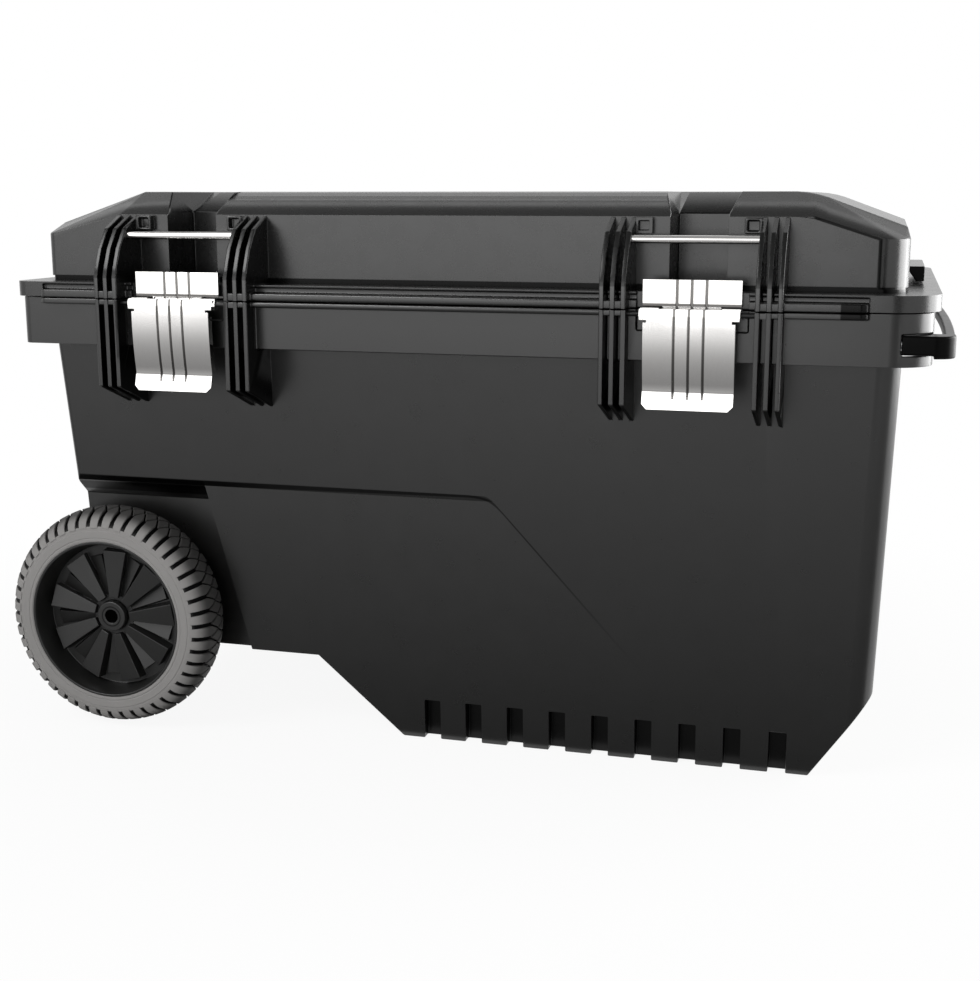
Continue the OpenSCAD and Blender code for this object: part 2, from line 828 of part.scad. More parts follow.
module latch_lever(x) {
    lid_curl = [
        [latch_y - face_out, latch_z], [latch_y - face_out + 0.2, latch_z + 2],
        [latch_y - face_out + 1, latch_z + 3.4], [latch_y - face_out + 2.4, latch_z + top_up],
        [latch_y - face_out + 2.6, latch_z + top_up - sheet_t],
        [latch_y - face_out + sheet_t + 0.3, latch_z + 1.6], [latch_y - face_out + sheet_t, latch_z]
    ];
    color(steel)
    translate([x, 0, 0])
    difference() {
        union() {
            cross_prism(lid_curl, -lever_top_w / 2, lever_top_w / 2);
            cross_prism(face_band(0, lever_step, 0, sheet_t), -lever_top_w / 2, lever_top_w / 2);
            cross_prism(face_band(lever_step, face_foot, 0, sheet_t), -lever_w / 2, lever_w / 2);
            cross_prism(face_band(face_foot, lever_h, 0, sheet_t), -lever_w / 2, lever_w / 2);
            for (side = [-1, 1])
                translate([side * (lever_w / 2 - sheet_t / 2), 0, 0])
                    cross_prism(face_band(lever_step + 4, face_foot - 2, sheet_t / 2, 6),
                                -sheet_t / 2, sheet_t / 2);
            for (side = [-1, 1])
                translate([side * (cam_w + lever_top_w) / 4, 0, 0]) {
                    bar_x(cam_r - 0.2, (cam_w - lever_top_w) / 4, (lever_top_w - cam_w) / 4, latch_y, latch_z);
                    block((cam_w - lever_top_w) / 4, (lever_top_w - cam_w) / 4,
                          latch_y - face_out + sheet_t / 2, latch_y, latch_z - 3, latch_z + 1.5);
                }
            bar_x(cam_r, -cam_w / 2 - 1, cam_w / 2 + 1, cam_y, cam_z);
        }
        bar_x(latch_pin_r + run_gap, -far, far, latch_y, latch_z);
        for (side = [-1, 1])
            translate([side * lever_top_w / 2, 0, 0])
                block(-5, 5, latch_y - face_out - 1, latch_y - face_out + sheet_t + 1,
                      latch_z - lever_step - 0.8, latch_z - lever_step + 0.8);
        for (i = [-1:1])
            translate([i * groove_pitch, 0, 0]) {
                cross_prism(face_band(-top_up - 1, face_foot + 4, -1, groove_d), -groove_w / 2, groove_w / 2);
            }
        for (side = [-1, 1])
            translate([side * lever_w / 2, -far, latch_z - lever_h])
                rotate([0, 45, 0])
                    cube([tab_round, 2 * far, tab_round], center = true);
    }
}

hook_front = latch_y + latch_out + pocket_d - side_gap - 2.7 - sheet_t;
hook_plate_z = cam_z;
lip_end = -flange_y + pocket_d - side_gap;

module latch_hook(x) {
    knuckle_w2 = cam_w - 2 * side_gap - 2;
    top = latch_z + hook_h;
    color(steel)
    translate([x, 0, 0])
    difference() {
        union() {
            bar_x(cam_r + run_gap + knuckle_t, -knuckle_w2 / 2, knuckle_w2 / 2, cam_y, cam_z);
            block(-knuckle_w2 / 2, knuckle_w2 / 2, cam_y, hook_front + sheet_t, cam_z - 1, cam_z + 3);
            block(-knuckle_w2 / 2, knuckle_w2 / 2, hook_front, hook_front + sheet_t, cam_z, latch_z + top_up + 1.5);
            block(-hook_w / 2, hook_w / 2, hook_front, hook_front + sheet_t, latch_z + top_up + 1, top);
            block(-hook_w / 2, hook_w / 2, hook_front, lip_end, top - sheet_t, top);
        }
        bar_x(cam_r + run_gap, -far, far, cam_y, cam_z);
        for (i = [-1:1])
            block(i * groove_pitch - groove_w / 2, i * groove_pitch + groove_w / 2,
                  hook_front - 1, hook_front + groove_d, latch_z + top_up + 1, top + 1);
    }
}

// Wheels and axle

axle_boss = 5.8;
washer_t = 1.5;
wheel_y1 = -well_y - axle_boss - washer_t - 2 * hub_gap;
hub_l = 25.8;
wheel_y0 = wheel_y1 - hub_l;
tyre_y1 = -well_y - 6.3;
tyre_y0 = tyre_y1 - tyre_w;
tyre_mid = (tyre_y0 + tyre_y1) / 2;
cap_l = 5.5;
cap_hole_l = 2.2;
cap_floor = 1;
cap_y1 = wheel_y0 - hub_gap * 1.5 - washer_t;
axle_end = cap_y1 - cap_l + cap_hole_l + cap_floor + 0.1;

module wheel_wells_but_bosses() {
    difference() {
        wheel_wells(0);
        front_and_back()
            bar_y(hub_r - 2, -well_y - axle_boss, -well_y + 1, axle_x, axle_z);
    }
}

// A solid turned about the wheel's axis, from points of radius and Y
module turned(points) {
    translate([axle_x, 0, axle_z])
        rotate([90, 0, 0])
            mirror([0, 0, 1])
                rotate_extrude($fn = 96)
                    polygon(points);
}

module axle() {
    color(zinc)
        bar_y(axle_r, axle_end, -axle_end, axle_x, axle_z);
}

module axle_bushes() {
    color(nylon)
        front_and_back()
            difference() {
                bar_y(bush_r, -well_y - axle_boss, -well_y + cheek_t, axle_x, axle_z);
                bar_y(axle_r + fix_gap, -far, 0, axle_x, axle_z);
            }
}

module axle_washers() {
    color(zinc)
        front_and_back()
            for (y = [-well_y - axle_boss - washer_t - hub_gap / 2, wheel_y0 - washer_t - hub_gap])
                difference() {
                    bar_y(bush_r + 1.5, y, y + washer_t, axle_x, axle_z);
                    bar_y(axle_r + fix_gap, -far, 0, axle_x, axle_z);
                }
}

cap_r = 12;
cap_hole_r = 5.4;

// Push-on caps that keep the wheels on the axle, each with a blind hole in its face
module axle_caps() {
    color(hub_black)
        front_and_back()
            difference() {
                bar_y(cap_r, cap_y1 - cap_l, cap_y1, axle_x, axle_z);
                bar_y(cap_hole_r, -far, cap_y1 - cap_l + cap_hole_l, axle_x, axle_z);
                bar_y(axle_r + fix_gap, axle_end - 0.1, 0, axle_x, axle_z);
            }
}

tyre_r = tyre_d / 2;
lug_h = 3.6;
lug_gap_share = 0.36;
tread_w = 17;
tread_gap = 2;
side_round = 1.2;

// Points of the tyre's round, from angle a0 to a1 in n steps, as radius and Y, sunk by d at the tread
function tyre_round(d, a0, a1, n) = [
    for (i = [0:n]) let (a = a0 + (a1 - a0) * i / n)
        [side_r + (tyre_r - side_r - d) * cos(a), tyre_mid + tyre_w / 2 * sin(a)]
];

// Cross-section of the tyre under its lugs
tyre_core = concat(
    [[rim_r, tyre_y1], [rim_r, tyre_y0 + side_round], [rim_r + side_round, tyre_y0]],
    tyre_round(lug_h, -90, 90, 12));

// Star of lugs seen along the axle, with one lug straight down
function lug_star(turn) = [
    for (i = [0:lug_count - 1], e = [0:3])
        let (half = (1 - lug_gap_share) / 2,
             a = 270 + (i + turn + [-half, half, half, 1 - half][e]) * 360 / lug_count,
             r = e < 2 ? tyre_r + 2 : side_r + 2)
        r * [cos(a), sin(a)]
];

// One row of lugs between two angles of the tyre's round
module lug_row(a0, a1, turn) {
    intersection() {
        turned(concat(tyre_round(0, a0, a1, 3), tyre_round(lug_h + 1, a1, a0, 1)));
        translate([axle_x, 0, axle_z])
            rotate([90, 0, 0])
                linear_extrude(height = 2 * far, center = true)
                    polygon(lug_star(turn));
    }
}

module wheel_tyre() {
    shoulder_a = asin((tread_w / 2 + tread_gap) / (tyre_w / 2));
    tread_a = asin(tread_w / 2 / (tyre_w / 2));
    color(tyre_grey)
        difference() {
            union() {
                turned(tyre_core);
                lug_row(-80, -shoulder_a, 0);
                lug_row(shoulder_a, 80, 0.5);
                lug_row(-tread_a, -1.5, 0.5);
                lug_row(1.5, tread_a, 0);
            }
            bar_y(rim_r, -far, 0, axle_x, axle_z);
        }
}

web_y = wheel_y0 + 1.5;
web_t = 3.5;
rim_t = 4;
rim_edge = 1.8;
dish_r = 57.5;
blade_out = 53.5;
blade_in = 15;
blade_w0 = 2.5;
blade_spread = 0.306;
blade_rise = 7.5;
blade_tilt = 8;
facet_rise = 2.5;
facet_tilt = -16;

module wheel_hub() {
    color(hub_black)
    difference() {
        union() {
            turned([
                [hub_r - 1, web_y], [dish_r, web_y], [rim_r - rim_edge - 1, tyre_y0 + 3],
                [rim_r - rim_edge, tyre_y0 + 0.3], [rim_r - fix_gap, tyre_y0 + 0.3],
                [rim_r - fix_gap, tyre_y1 - 0.3], [rim_r - rim_t, tyre_y1 - 0.3],
                [dish_r, web_y + web_t + 3], [hub_r - 1, web_y + web_t]
            ]);
            bar_y(hub_r, wheel_y0 - 2, wheel_y1, axle_x, axle_z);
            for (i = [0:blade_count - 1]) {
                wheel_blade((i + 0.1) * 360 / blade_count, blade_out, 1, blade_rise, blade_tilt);
                wheel_blade((i + 0.6) * 360 / blade_count, blade_out - 4, 0.7, facet_rise, facet_tilt);
            }
        }
        bar_y(bush_r + fix_gap, -far, 0, axle_x, axle_z);
        bar_y(cap_r + 0.4, -far, wheel_y0, axle_x, axle_z);
    }
}

// One wedge blade out to radius r, tilted so that one of its long edges stands proud
module wheel_blade(a, r, share, rise, tilt) {
    w0 = share * (blade_w0 + blade_spread * blade_in) / 2;
    w1 = share * (blade_w0 + blade_spread * r) / 2;
    translate([axle_x, web_y, axle_z])
        rotate([0, a, 0])
            intersection() {
                rotate([0, 0, tilt])
                    rotate([90, 0, 0])
                        translate([0, 0, -web_t])
                            linear_extrude(height = rise + web_t)
                                polygon([[-w0, blade_in], [w0, blade_in], [w1, r], [-w1, r]]);
                block(-far, far, -far, web_t / 2, 0, far);
            }
}

module wheel_bush() {
    color(nylon)
        difference() {
            bar_y(bush_r, wheel_y0, wheel_y1, axle_x, axle_z);
            bar_y(axle_r + run_gap, -far, 0, axle_x, axle_z);
        }
}

module to_rear() {
    mirror([0, 1, 0])
        children();
}

// Pull handle

tube_y = flange_y - tube_inset;
tube_z = part_z - tube_drop;
grip_y = tube_y + root_w / 2;
corner_x = grip_x1 - grip_bow;
bow_r = (pow(grip_y - grip_corner, 2) + pow(grip_bow, 2)) / (2 * grip_bow);
bow_a = asin((grip_y - grip_corner) / bow_r);
socket_x = grip_root_x + mouth_gap;
socket_l = 20;
root_l = 28;
stop_l = 14;
tube_x0 = guide_xs[0] - side_gap - stop_l - handle_travel;

// Outer edge of the grip from its front root to its back root, moved in by d
function grip_edge(d) = concat(
    [[socket_x, -(grip_y - d)]],
    arc([corner_x - grip_corner, -(grip_y - grip_corner)], grip_corner - d, 270, 360 - bow_a),
    arc([grip_x1 - bow_r, 0], bow_r - d, -bow_a, bow_a, 12),
    arc([corner_x - grip_corner, grip_y - grip_corner], grip_corner - d, bow_a, 90),
    [[socket_x, grip_y - d]]);

function backwards(points) = [for (i = [len(points) - 1:-1:0]) points[i]];

// The grip's bar, of height h about height z
module grip_band(z, h) {
    translate([0, 0, z - h / 2])
        linear_extrude(height = h)
            polygon(concat(grip_edge(0), backwards(grip_edge(grip_t))));
}

module handle_grip() {
    corner_y = grip_y - grip_corner - 10;
    color(rubber)
    difference() {
        union() {
            difference() {
                grip_band(tube_z, grip_end_h);
                block(0, far, -corner_y, corner_y, 0, box_h);
            }
            intersection() {
                grip_band(tube_z - grip_bar_drop, grip_bar_h);
                block(corner_x - grip_corner, far, -far, far, 0, box_h);
            }
            intersection() {
                slab(grip_edge(0), tube_z - grip_end_h / 2, tube_z + grip_end_h / 2);
                front_and_back()
                    block(socket_x, socket_x + root_l, -grip_y - 1, root_w - grip_y, 0, box_h);
            }
        }
        front_and_back() {
            bar_x(tube_r + fix_gap, 0, socket_x + socket_l, -tube_y, tube_z);
            bar_z(rivet_r + fix_gap, socket_x + socket_l / 2, -tube_y);
        }
    }
}

rivet_r = 1.6;

// A bar along Z through the grip's socket
module bar_z(r, x, y) {
    translate([x, y, tube_z - grip_end_h])
        cylinder(r = r, h = 2 * grip_end_h, $fn = 32);
}

tube_t = 1.2;

module handle_tubes() {
    color(zinc)
        front_and_back()
            difference() {
                bar_x(tube_r, tube_x0, socket_x + socket_l - side_gap, -tube_y, tube_z);
                bar_x(tube_r - tube_t, tube_x0 - 1, socket_x + socket_l + 1, -tube_y, tube_z);
                bar_z(rivet_r + fix_gap, socket_x + socket_l / 2, -tube_y);
            }
}

module handle_rivets() {
    color(zinc)
        front_and_back()
            intersection() {
                bar_z(rivet_r, socket_x + socket_l / 2, -tube_y);
                block(0, far, -far, 0, tube_z - grip_end_h / 2, tube_z + grip_end_h / 2);
            }
}

guide_h = 26;
guide_y0 = -band_y + band_skin + 1.2;
guide_wall_y = -wall_y(tube_z + guide_h / 2);

// Guide blocks that carry the tubes under the rim
module handle_guides() {
    color(nylon)
        front_and_back()
            for (x = guide_xs)
                difference() {
                    block(x, x + guide_l, guide_y0, guide_wall_y - side_gap,
                          tube_z - guide_h / 2, tube_z + guide_h / 2);
                    bar_x(tube_r + run_gap, 0, far, -tube_y, tube_z);
                    guide_screw_bars(guide_screw_r + fix_gap, x);
                    guide_screw_heads(guide_head_r + side_gap, x, guide_head_h);
                }
}

guide_screw_dz = tube_r + guide_screw_r + 1.2;

// The two screw positions of one guide block, above and below its tube
module guide_screw_bars(r, x) {
    for (z = [tube_z - guide_screw_dz, tube_z + guide_screw_dz])
        translate([x + guide_l / 2, guide_y0 + guide_head_h - 0.2, z])
            rotate([-90, 0, 0])
                cylinder(r = r, h = guide_wall_y + tub_wall - 1 - guide_y0 - guide_head_h, $fn = 32);
}

module guide_screw_heads(r, x, h) {
    for (z = [tube_z - guide_screw_dz, tube_z + guide_screw_dz])
        translate([x + guide_l / 2, guide_y0 + guide_head_h - h, z])
            rotate([-90, 0, 0])
                cylinder(r = r, h = h, $fn = 32);
}

module guide_screws() {
    color(zinc)
        front_and_back()
            for (x = guide_xs) {
                guide_screw_bars(guide_screw_r, x);
                guide_screw_heads(guide_head_r, x, guide_head_h - 0.1);
            }
}

// Collars on the tubes' inner ends that stop the handle from pulling right out
module handle_stops() {
    color(nylon)
        front_and_back()
            difference() {
                bar_x(tube_r + 2.2, tube_x0, tube_x0 + stop_l, -tube_y, tube_z);
                bar_x(tube_r + fix_gap, tube_x0 - 1, tube_x0 + stop_l + 1, -tube_y, tube_z);
            }
}

tub();
lid();
lid_gasket();
hinge_pins();
lid_rods();
latch_pins();
latch_lever(stations[0]);  // latch_lever_left
latch_hook(stations[0]);  // latch_hook_left
latch_lever(stations[1]);  // latch_lever_right
latch_hook(stations[1]);  // latch_hook_right
axle();
axle_bushes();
axle_washers();
axle_caps();
wheel_tyre();  // wheel_tyre_front
wheel_hub();  // wheel_hub_front
wheel_bush();  // wheel_bush_front
to_rear() wheel_tyre();  // wheel_tyre_rear
to_rear() wheel_hub();  // wheel_hub_rear
to_rear() wheel_bush();  // wheel_bush_rear
handle_grip();
handle_tubes();
handle_guides();
handle_stops();
guide_screws();
handle_rivets();
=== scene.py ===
"""Dresses the rolling storage box in its finishes, and sets up its studio and camera."""

import json
import math

import bmesh
import bpy
from mathutils import Matrix, Vector


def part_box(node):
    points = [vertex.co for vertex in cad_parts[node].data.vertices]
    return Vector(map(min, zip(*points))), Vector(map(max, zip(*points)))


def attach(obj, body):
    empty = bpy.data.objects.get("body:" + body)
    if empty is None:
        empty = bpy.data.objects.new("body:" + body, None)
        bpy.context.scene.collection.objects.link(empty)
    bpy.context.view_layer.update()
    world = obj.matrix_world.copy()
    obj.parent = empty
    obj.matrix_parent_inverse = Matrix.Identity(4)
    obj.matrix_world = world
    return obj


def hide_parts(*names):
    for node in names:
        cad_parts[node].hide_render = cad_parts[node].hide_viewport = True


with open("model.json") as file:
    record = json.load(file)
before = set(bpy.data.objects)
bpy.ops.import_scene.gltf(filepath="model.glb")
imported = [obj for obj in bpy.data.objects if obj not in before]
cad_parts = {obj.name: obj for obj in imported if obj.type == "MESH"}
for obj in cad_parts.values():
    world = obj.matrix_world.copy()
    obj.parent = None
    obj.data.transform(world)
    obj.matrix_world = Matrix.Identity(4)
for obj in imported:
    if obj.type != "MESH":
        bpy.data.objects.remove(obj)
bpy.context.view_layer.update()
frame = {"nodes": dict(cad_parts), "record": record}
MM = 0.001


# Shader groups


def new_group(name, inputs, outputs):
    """An empty shader group with named float, colour or vector sockets."""
    group = bpy.data.node_groups.new(name, "ShaderNodeTree")
    for label, kind, value in inputs:
        socket = group.interface.new_socket(name=label, in_out="INPUT", socket_type=kind)
        socket.default_value = value
    for label, kind in outputs:
        group.interface.new_socket(name=label, in_out="OUTPUT", socket_type=kind)
    return group, group.nodes.new("NodeGroupInput"), group.nodes.new("NodeGroupOutput")


def add(tree, kind, **settings):
    """A node with its properties, and its inputs by name, already set."""
    node = tree.nodes.new(kind)
    for key, value in settings.items():
        if hasattr(node, key):
            setattr(node, key, value)
        else:
            node.inputs[key.replace("_", " ")].default_value = value
    return node


def stretched_coordinates(tree, scale):
    """Object coordinates in metres, scaled along each axis."""
    place = add(tree, "ShaderNodeTexCoord")
    mapping = add(tree, "ShaderNodeMapping")
    mapping.inputs["Scale"].default_value = scale
    tree.links.new(place.outputs["Object"], mapping.inputs["Vector"])
    return mapping.outputs["Vector"]


def spread(tree, factor, low, high):
    """Maps a 0 to 1 factor onto low to high."""
    node = add(tree, "ShaderNodeMapRange")
    tree.links.new(factor, node.inputs["Value"])
    for name, source in (("To Min", low), ("To Max", high)):
        if isinstance(source, float):
            node.inputs[name].default_value = source
        else:
            tree.links.new(source, node.inputs[name])
    return node.outputs["Result"]


def moulded_grain():
    """Fine spark-eroded grain of a moulding, with slow cloudy changes of shade."""
    group, given, out = new_group(
        "moulded_grain",
        [
            ("Color", "NodeSocketColor", (0.03, 0.03, 0.03, 1)),
            ("Mottle", "NodeSocketFloat", 0.1),
            ("Roughness Low", "NodeSocketFloat", 0.45),
            ("Roughness High", "NodeSocketFloat", 0.6),
        ],
        [("Color", "NodeSocketColor"), ("Roughness", "NodeSocketFloat"), ("Height", "NodeSocketFloat")],
    )
    links = group.links
    fine = add(group, "ShaderNodeTexNoise", Scale=1400.0, Detail=3.0, Roughness=0.6)
    cloud = add(group, "ShaderNodeTexNoise", Scale=9.0, Detail=3.0, Roughness=0.5)
    rub = add(group, "ShaderNodeTexNoise", Scale=60.0, Detail=5.0, Roughness=0.65)
    for noise in (fine, cloud, rub):
        links.new(stretched_coordinates(group, (1, 1, 1)), noise.inputs["Vector"])
    less = add(group, "ShaderNodeMath", operation="SUBTRACT")
    less.inputs[0].default_value = 1.0
    links.new(given.outputs["Mottle"], less.inputs[1])
    more = add(group, "ShaderNodeMath", operation="ADD")
    more.inputs[0].default_value = 1.0
    links.new(given.outputs["Mottle"], more.inputs[1])
    shade = spread(group, cloud.outputs["Fac"], less.outputs[0], more.outputs[0])
    tint = add(group, "ShaderNodeVectorMath", operation="SCALE")
    links.new(given.outputs["Color"], tint.inputs[0])
    links.new(shade, tint.inputs["Scale"])
    links.new(tint.outputs["Vector"], out.inputs["Color"])
    low, high = given.outputs["Roughness Low"], given.outputs["Roughness High"]
    links.new(spread(group, rub.outputs["Fac"], low, high), out.inputs["Roughness"])
    links.new(fine.outputs["Fac"], out.inputs["Height"])
    return group


def drawn_steel():
    """Sheet or bar steel with faint lines along its drawing direction, and duller patches."""
    group, given, out = new_group(
        "drawn_steel",
        [
            ("Color", "NodeSocketColor", (0.8, 0.8, 0.8, 1)),
            ("Roughness Low", "NodeSocketFloat", 0.15),
            ("Roughness High", "NodeSocketFloat", 0.3),
        ],
        [("Color", "NodeSocketColor"), ("Roughness", "NodeSocketFloat"), ("Height", "NodeSocketFloat")],
    )
    links = group.links
    lines = add(group, "ShaderNodeTexNoise", Scale=1.0, Detail=4.0, Roughness=0.6)
    links.new(stretched_coordinates(group, (1800, 1800, 25)), lines.inputs["Vector"])
    patch = add(group, "ShaderNodeTexNoise", Scale=45.0, Detail=4.0, Roughness=0.55)
    links.new(stretched_coordinates(group, (1, 1, 1)), patch.inputs["Vector"])
    tint = add(group, "ShaderNodeVectorMath", operation="SCALE")
    links.new(given.outputs["Color"], tint.inputs[0])
    links.new(spread(group, lines.outputs["Fac"], 0.94, 1.04), tint.inputs["Scale"])
    links.new(tint.outputs["Vector"], out.inputs["Color"])
    low, high = given.outputs["Roughness Low"], given.outputs["Roughness High"]
    links.new(spread(group, patch.outputs["Fac"], low, high), out.inputs["Roughness"])
    links.new(lines.outputs["Fac"], out.inputs["Height"])
    return group


def chained(tree, operation, *terms):
    """One maths operation carried through sockets and numbers in turn."""
    total = terms[0]
    for term in terms[1:]:
        node = add(tree, "ShaderNodeMath", operation=operation)
        for socket, value in zip(node.inputs, (total, term)):
            if isinstance(value, (int, float)):
                socket.default_value = value
            else:
                tree.links.new(value, socket)
        total = node.outputs[0]
    return total


def product(tree, *terms):
    return chained(tree, "MULTIPLY", *terms)


def difference(tree, value, less):
    return chained(tree, "SUBTRACT", value, less)


def absolute(tree, value):
    node = add(tree, "ShaderNodeMath", operation="ABSOLUTE")
    tree.links.new(value, node.inputs[0])
    return node.outputs[0]


def distance(tree, value, middle):
    """How far a value is from its middle, to either side."""
    return absolute(tree, difference(tree, value, middle))


def above(tree, value, limit):
    """1 where the value is over the limit, otherwise 0."""
    return chained(tree, "GREATER_THAN", value, limit)


def below(tree, value, limit):
    """1 where the value is under the limit, otherwise 0."""
    return chained(tree, "LESS_THAN", value, limit)


def step_down(tree, value, full, none):
    """1 up to the value full, falling smoothly to 0 at the value none."""
    node = add(tree, "ShaderNodeMapRange", interpolation_type="SMOOTHSTEP")
    for label, number in (("From Min", full), ("From Max", none), ("To Min", 1.0), ("To Max", 0.0)):
        node.inputs[label].default_value = number
    tree.links.new(value, node.inputs["Value"])
    return node.outputs["Result"]


def step_up(tree, value, none, full):
    """0 up to the value none, rising smoothly to 1 at the value full."""
    return difference(tree, 1.0, step_down(tree, value, none, full))


def within(tree, value, low, high, soft):
    """1 between two values, with soft ends."""
    reach = (high - low) / 2
    return step_down(tree, distance(tree, value, (low + high) / 2), reach, reach + soft)


def slanting(tree, x, z, start, end):
    """Signed distance above the line through two points in X and Z."""
    run, rise = end[0] - start[0], end[1] - start[1]
    length = math.hypot(run, rise)
    across = product(tree, difference(tree, x, start[0]), -rise / length)
    upward = product(tree, difference(tree, z, start[1]), run / length)
    return chained(tree, "ADD", across, upward)


def object_axes(tree):
    """Object coordinates as separate X, Y and Z sockets."""
    place = add(tree, "ShaderNodeTexCoord")
    apart = add(tree, "ShaderNodeSeparateXYZ")
    tree.links.new(place.outputs["Object"], apart.inputs[0])
    return apart.outputs["X"], apart.outputs["Y"], apart.outputs["Z"]


def leaned_normal(tree, normal, **leans):
    """The normal with leans added along the object's own axes."""
    lean = add(tree, "ShaderNodeCombineXYZ")
    for axis, amount in leans.items():
        tree.links.new(amount, lean.inputs[axis])
    turned = add(
        tree, "ShaderNodeVectorTransform",
        vector_type="VECTOR", convert_from="OBJECT", convert_to="WORLD")
    tree.links.new(lean.outputs[0], turned.inputs[0])
    leaned = add(tree, "ShaderNodeVectorMath", operation="ADD")
    tree.links.new(normal, leaned.inputs[0])
    tree.links.new(turned.outputs[0], leaned.inputs[1])
    unit = add(tree, "ShaderNodeVectorMath", operation="NORMALIZE")
    tree.links.new(leaned.outputs[0], unit.inputs[0])
    return unit.outputs[0]


def shading_group(name):
    """A group that paints shade onto a surface and leans its normal."""
    return new_group(
        name,
        [("Normal", "NodeSocketVector", (0, 0, 1))],
        [("Dark", "NodeSocketFloat"), ("Normal", "NodeSocketVector")],
    )


# How dark each painted shade is at its darkest, from 0 to 1
DARKNESS = {
    "foot": 0.85, "notch": 0.85, "crease": 0.85, "lid ribs": 0.45, "lip": 0.92, "bead end": 0.8,
    "panel": 0.62, "flutes": 0.7, "well": 0.85, "rib sides": 0.75, "tread middle": 0.7, "cap ring": 0.75,
}

# Places on the box are in metres along it (X), across it (Y, or side to either side) and up (Z)
STATIONS = (-0.199, 0.1835)  # the latches' middles along the box
GROOVE_PITCH = 10 * MM
GROOVE_HALF = 0.9 * MM
PLATE_FOOT = 0.2815
BEND_FOOT = 0.2862
BEND_TOP = 0.326
BOW_LEAN = -0.5
TAB_LEAN = -0.14
SEAM_Z = 0.3444  # between lever and hook
SEAM_HALF = (0.7 * MM, 1.3 * MM)
CURL_Z = (0.3375, 0.3432)
CURL_FRONT = -0.2225
CURL_LEAN = {"Y": -6.0, "Z": 0.4}


def plate_painted_shade():
    """Painted shade as dark lines in the latch plates' grooves and over the lever, where its seam with the
    hook lies, and the lever's curved shading.
    """
    group, given, out = shading_group("plate_painted_shade")
    x, y, z = object_axes(group)
    to_right = product(group, above(group, x, 0.0), STATIONS[1] - STATIONS[0])
    across = distance(group, x, chained(group, "ADD", to_right, STATIONS[0]))
    nearest = chained(group, "MINIMUM", across, distance(group, across, GROOVE_PITCH))
    groove = step_down(group, nearest, 0.5 * GROOVE_HALF, 1.4 * GROOVE_HALF)
    seam = step_down(group, distance(group, z, SEAM_Z), *SEAM_HALF)
    group.links.new(
        chained(group, "MAXIMUM", product(group, groove, above(group, z, PLATE_FOOT)), seam),
        out.inputs["Dark"])
    above_tab = above(group, z, BEND_FOOT)
    bow = product(group, step_down(group, z, BEND_FOOT, BEND_TOP), above_tab, BOW_LEAN)
    tab = product(group, difference(group, 1.0, above_tab), TAB_LEAN)
    curl = product(
        group, above(group, z, CURL_Z[0]), below(group, z, CURL_Z[1]), below(group, y, CURL_FRONT))
    upward = chained(group, "ADD", bow, tab, product(group, curl, CURL_LEAN["Z"]))
    forward = product(group, curl, CURL_LEAN["Y"])
    group.links.new(
        leaned_normal(group, given.outputs["Normal"], Y=forward, Z=upward), out.inputs["Normal"])
    return group


AXLE_X = -0.272
AXLE_Z = 0.089
WHEEL_Y = 0.197
TYRE_R = 87.75  # wheel sizes are in millimetres
TYRE_HALF = 22.85
SIDE_R = 74.0
RIM_R = 63.2
TREAD_FROM = 1.6
CAP_HOLE = (5.2, 5.9)
CAP_RING = (7.6, 8.1)


def from_axle(group):
    """Distance from the axle's centre line, and depth from the wheel's middle."""
    x, y, z = object_axes(group)
    flat = add(group, "ShaderNodeCombineXYZ")
    group.links.new(difference(group, x, AXLE_X), flat.inputs["X"])
    group.links.new(difference(group, z, AXLE_Z), flat.inputs["Z"])
    length = add(group, "ShaderNodeVectorMath", operation="LENGTH")
    group.links.new(flat.outputs[0], length.inputs[0])
    return length.outputs["Value"], difference(group, absolute(group, y), WHEEL_Y)


def tread_painted_shade():
    """Painted shade in the grooves between the tread blocks of a tyre, and on blocks that darken towards
    its middle.
    """
    group, _, out = new_group("tread_painted_shade", [], [("Dark", "NodeSocketFloat")])
    radius, depth = from_axle(group)
    part = chained(group, "DIVIDE", depth, TYRE_HALF * MM)
    square = difference(group, 1.0, product(group, part, part))
    rise = chained(group, "POWER", chained(group, "MAXIMUM", square, 0.0), 0.5)
    crown = chained(group, "ADD", product(group, rise, (TYRE_R - SIDE_R) * MM), SIDE_R * MM)
    groove = step_up(group, difference(group, crown, radius), 0.5 * MM, 2.0 * MM)
    middle = product(group, step_down(group, absolute(group, part), 0.5, 0.98), DARKNESS["tread middle"])
    on_tread = above(group, radius, (SIDE_R + TREAD_FROM) * MM)
    group.links.new(
        product(group, chained(group, "MAXIMUM", groove, middle), on_tread), out.inputs["Dark"])
    return group


def cap_hole_shade():
    """Painted shade in the blind hole in the middle of an axle cap, and a painted shadow ring round it."""
    group, _, out = new_group("cap_hole_shade", [], [("Dark", "NodeSocketFloat")])
    radius = from_axle(group)[0]
    hole = step_down(group, radius, *(edge * MM for edge in CAP_HOLE))
    ring = within(group, radius, *(edge * MM for edge in CAP_RING), 0.4 * MM)
    group.links.new(
        chained(group, "MAXIMUM", hole, product(group, ring, DARKNESS["cap ring"])), out.inputs["Dark"])
    return group


RIB_MIDDLE = 52.4 * MM  # from a latch's middle
RIB_HALF = 9.6 * MM
BEAD_END_X = (0.282, 0.3015)
BEAD_END_Z = (0.337, 0.352)
BEAD_SIDE = 0.2155


def in_ribs(tree, x):
    """1 across the ribs on both sides of each latch."""
    ribs = 0.0
    for station in STATIONS:
        off = distance(tree, distance(tree, x, station), RIB_MIDDLE)
        ribs = chained(tree, "ADD", below(tree, off, RIB_HALF), ribs)
    return ribs


def bead_end(tree, x, side, z):
    """Painted shade on the end of the rim's beads towards the handle."""
    return product(
        tree, within(tree, x, *BEAD_END_X, 0.5 * MM), within(tree, z, *BEAD_END_Z, 0.6 * MM),
        above(tree, side, BEAD_SIDE), DARKNESS["bead end"])


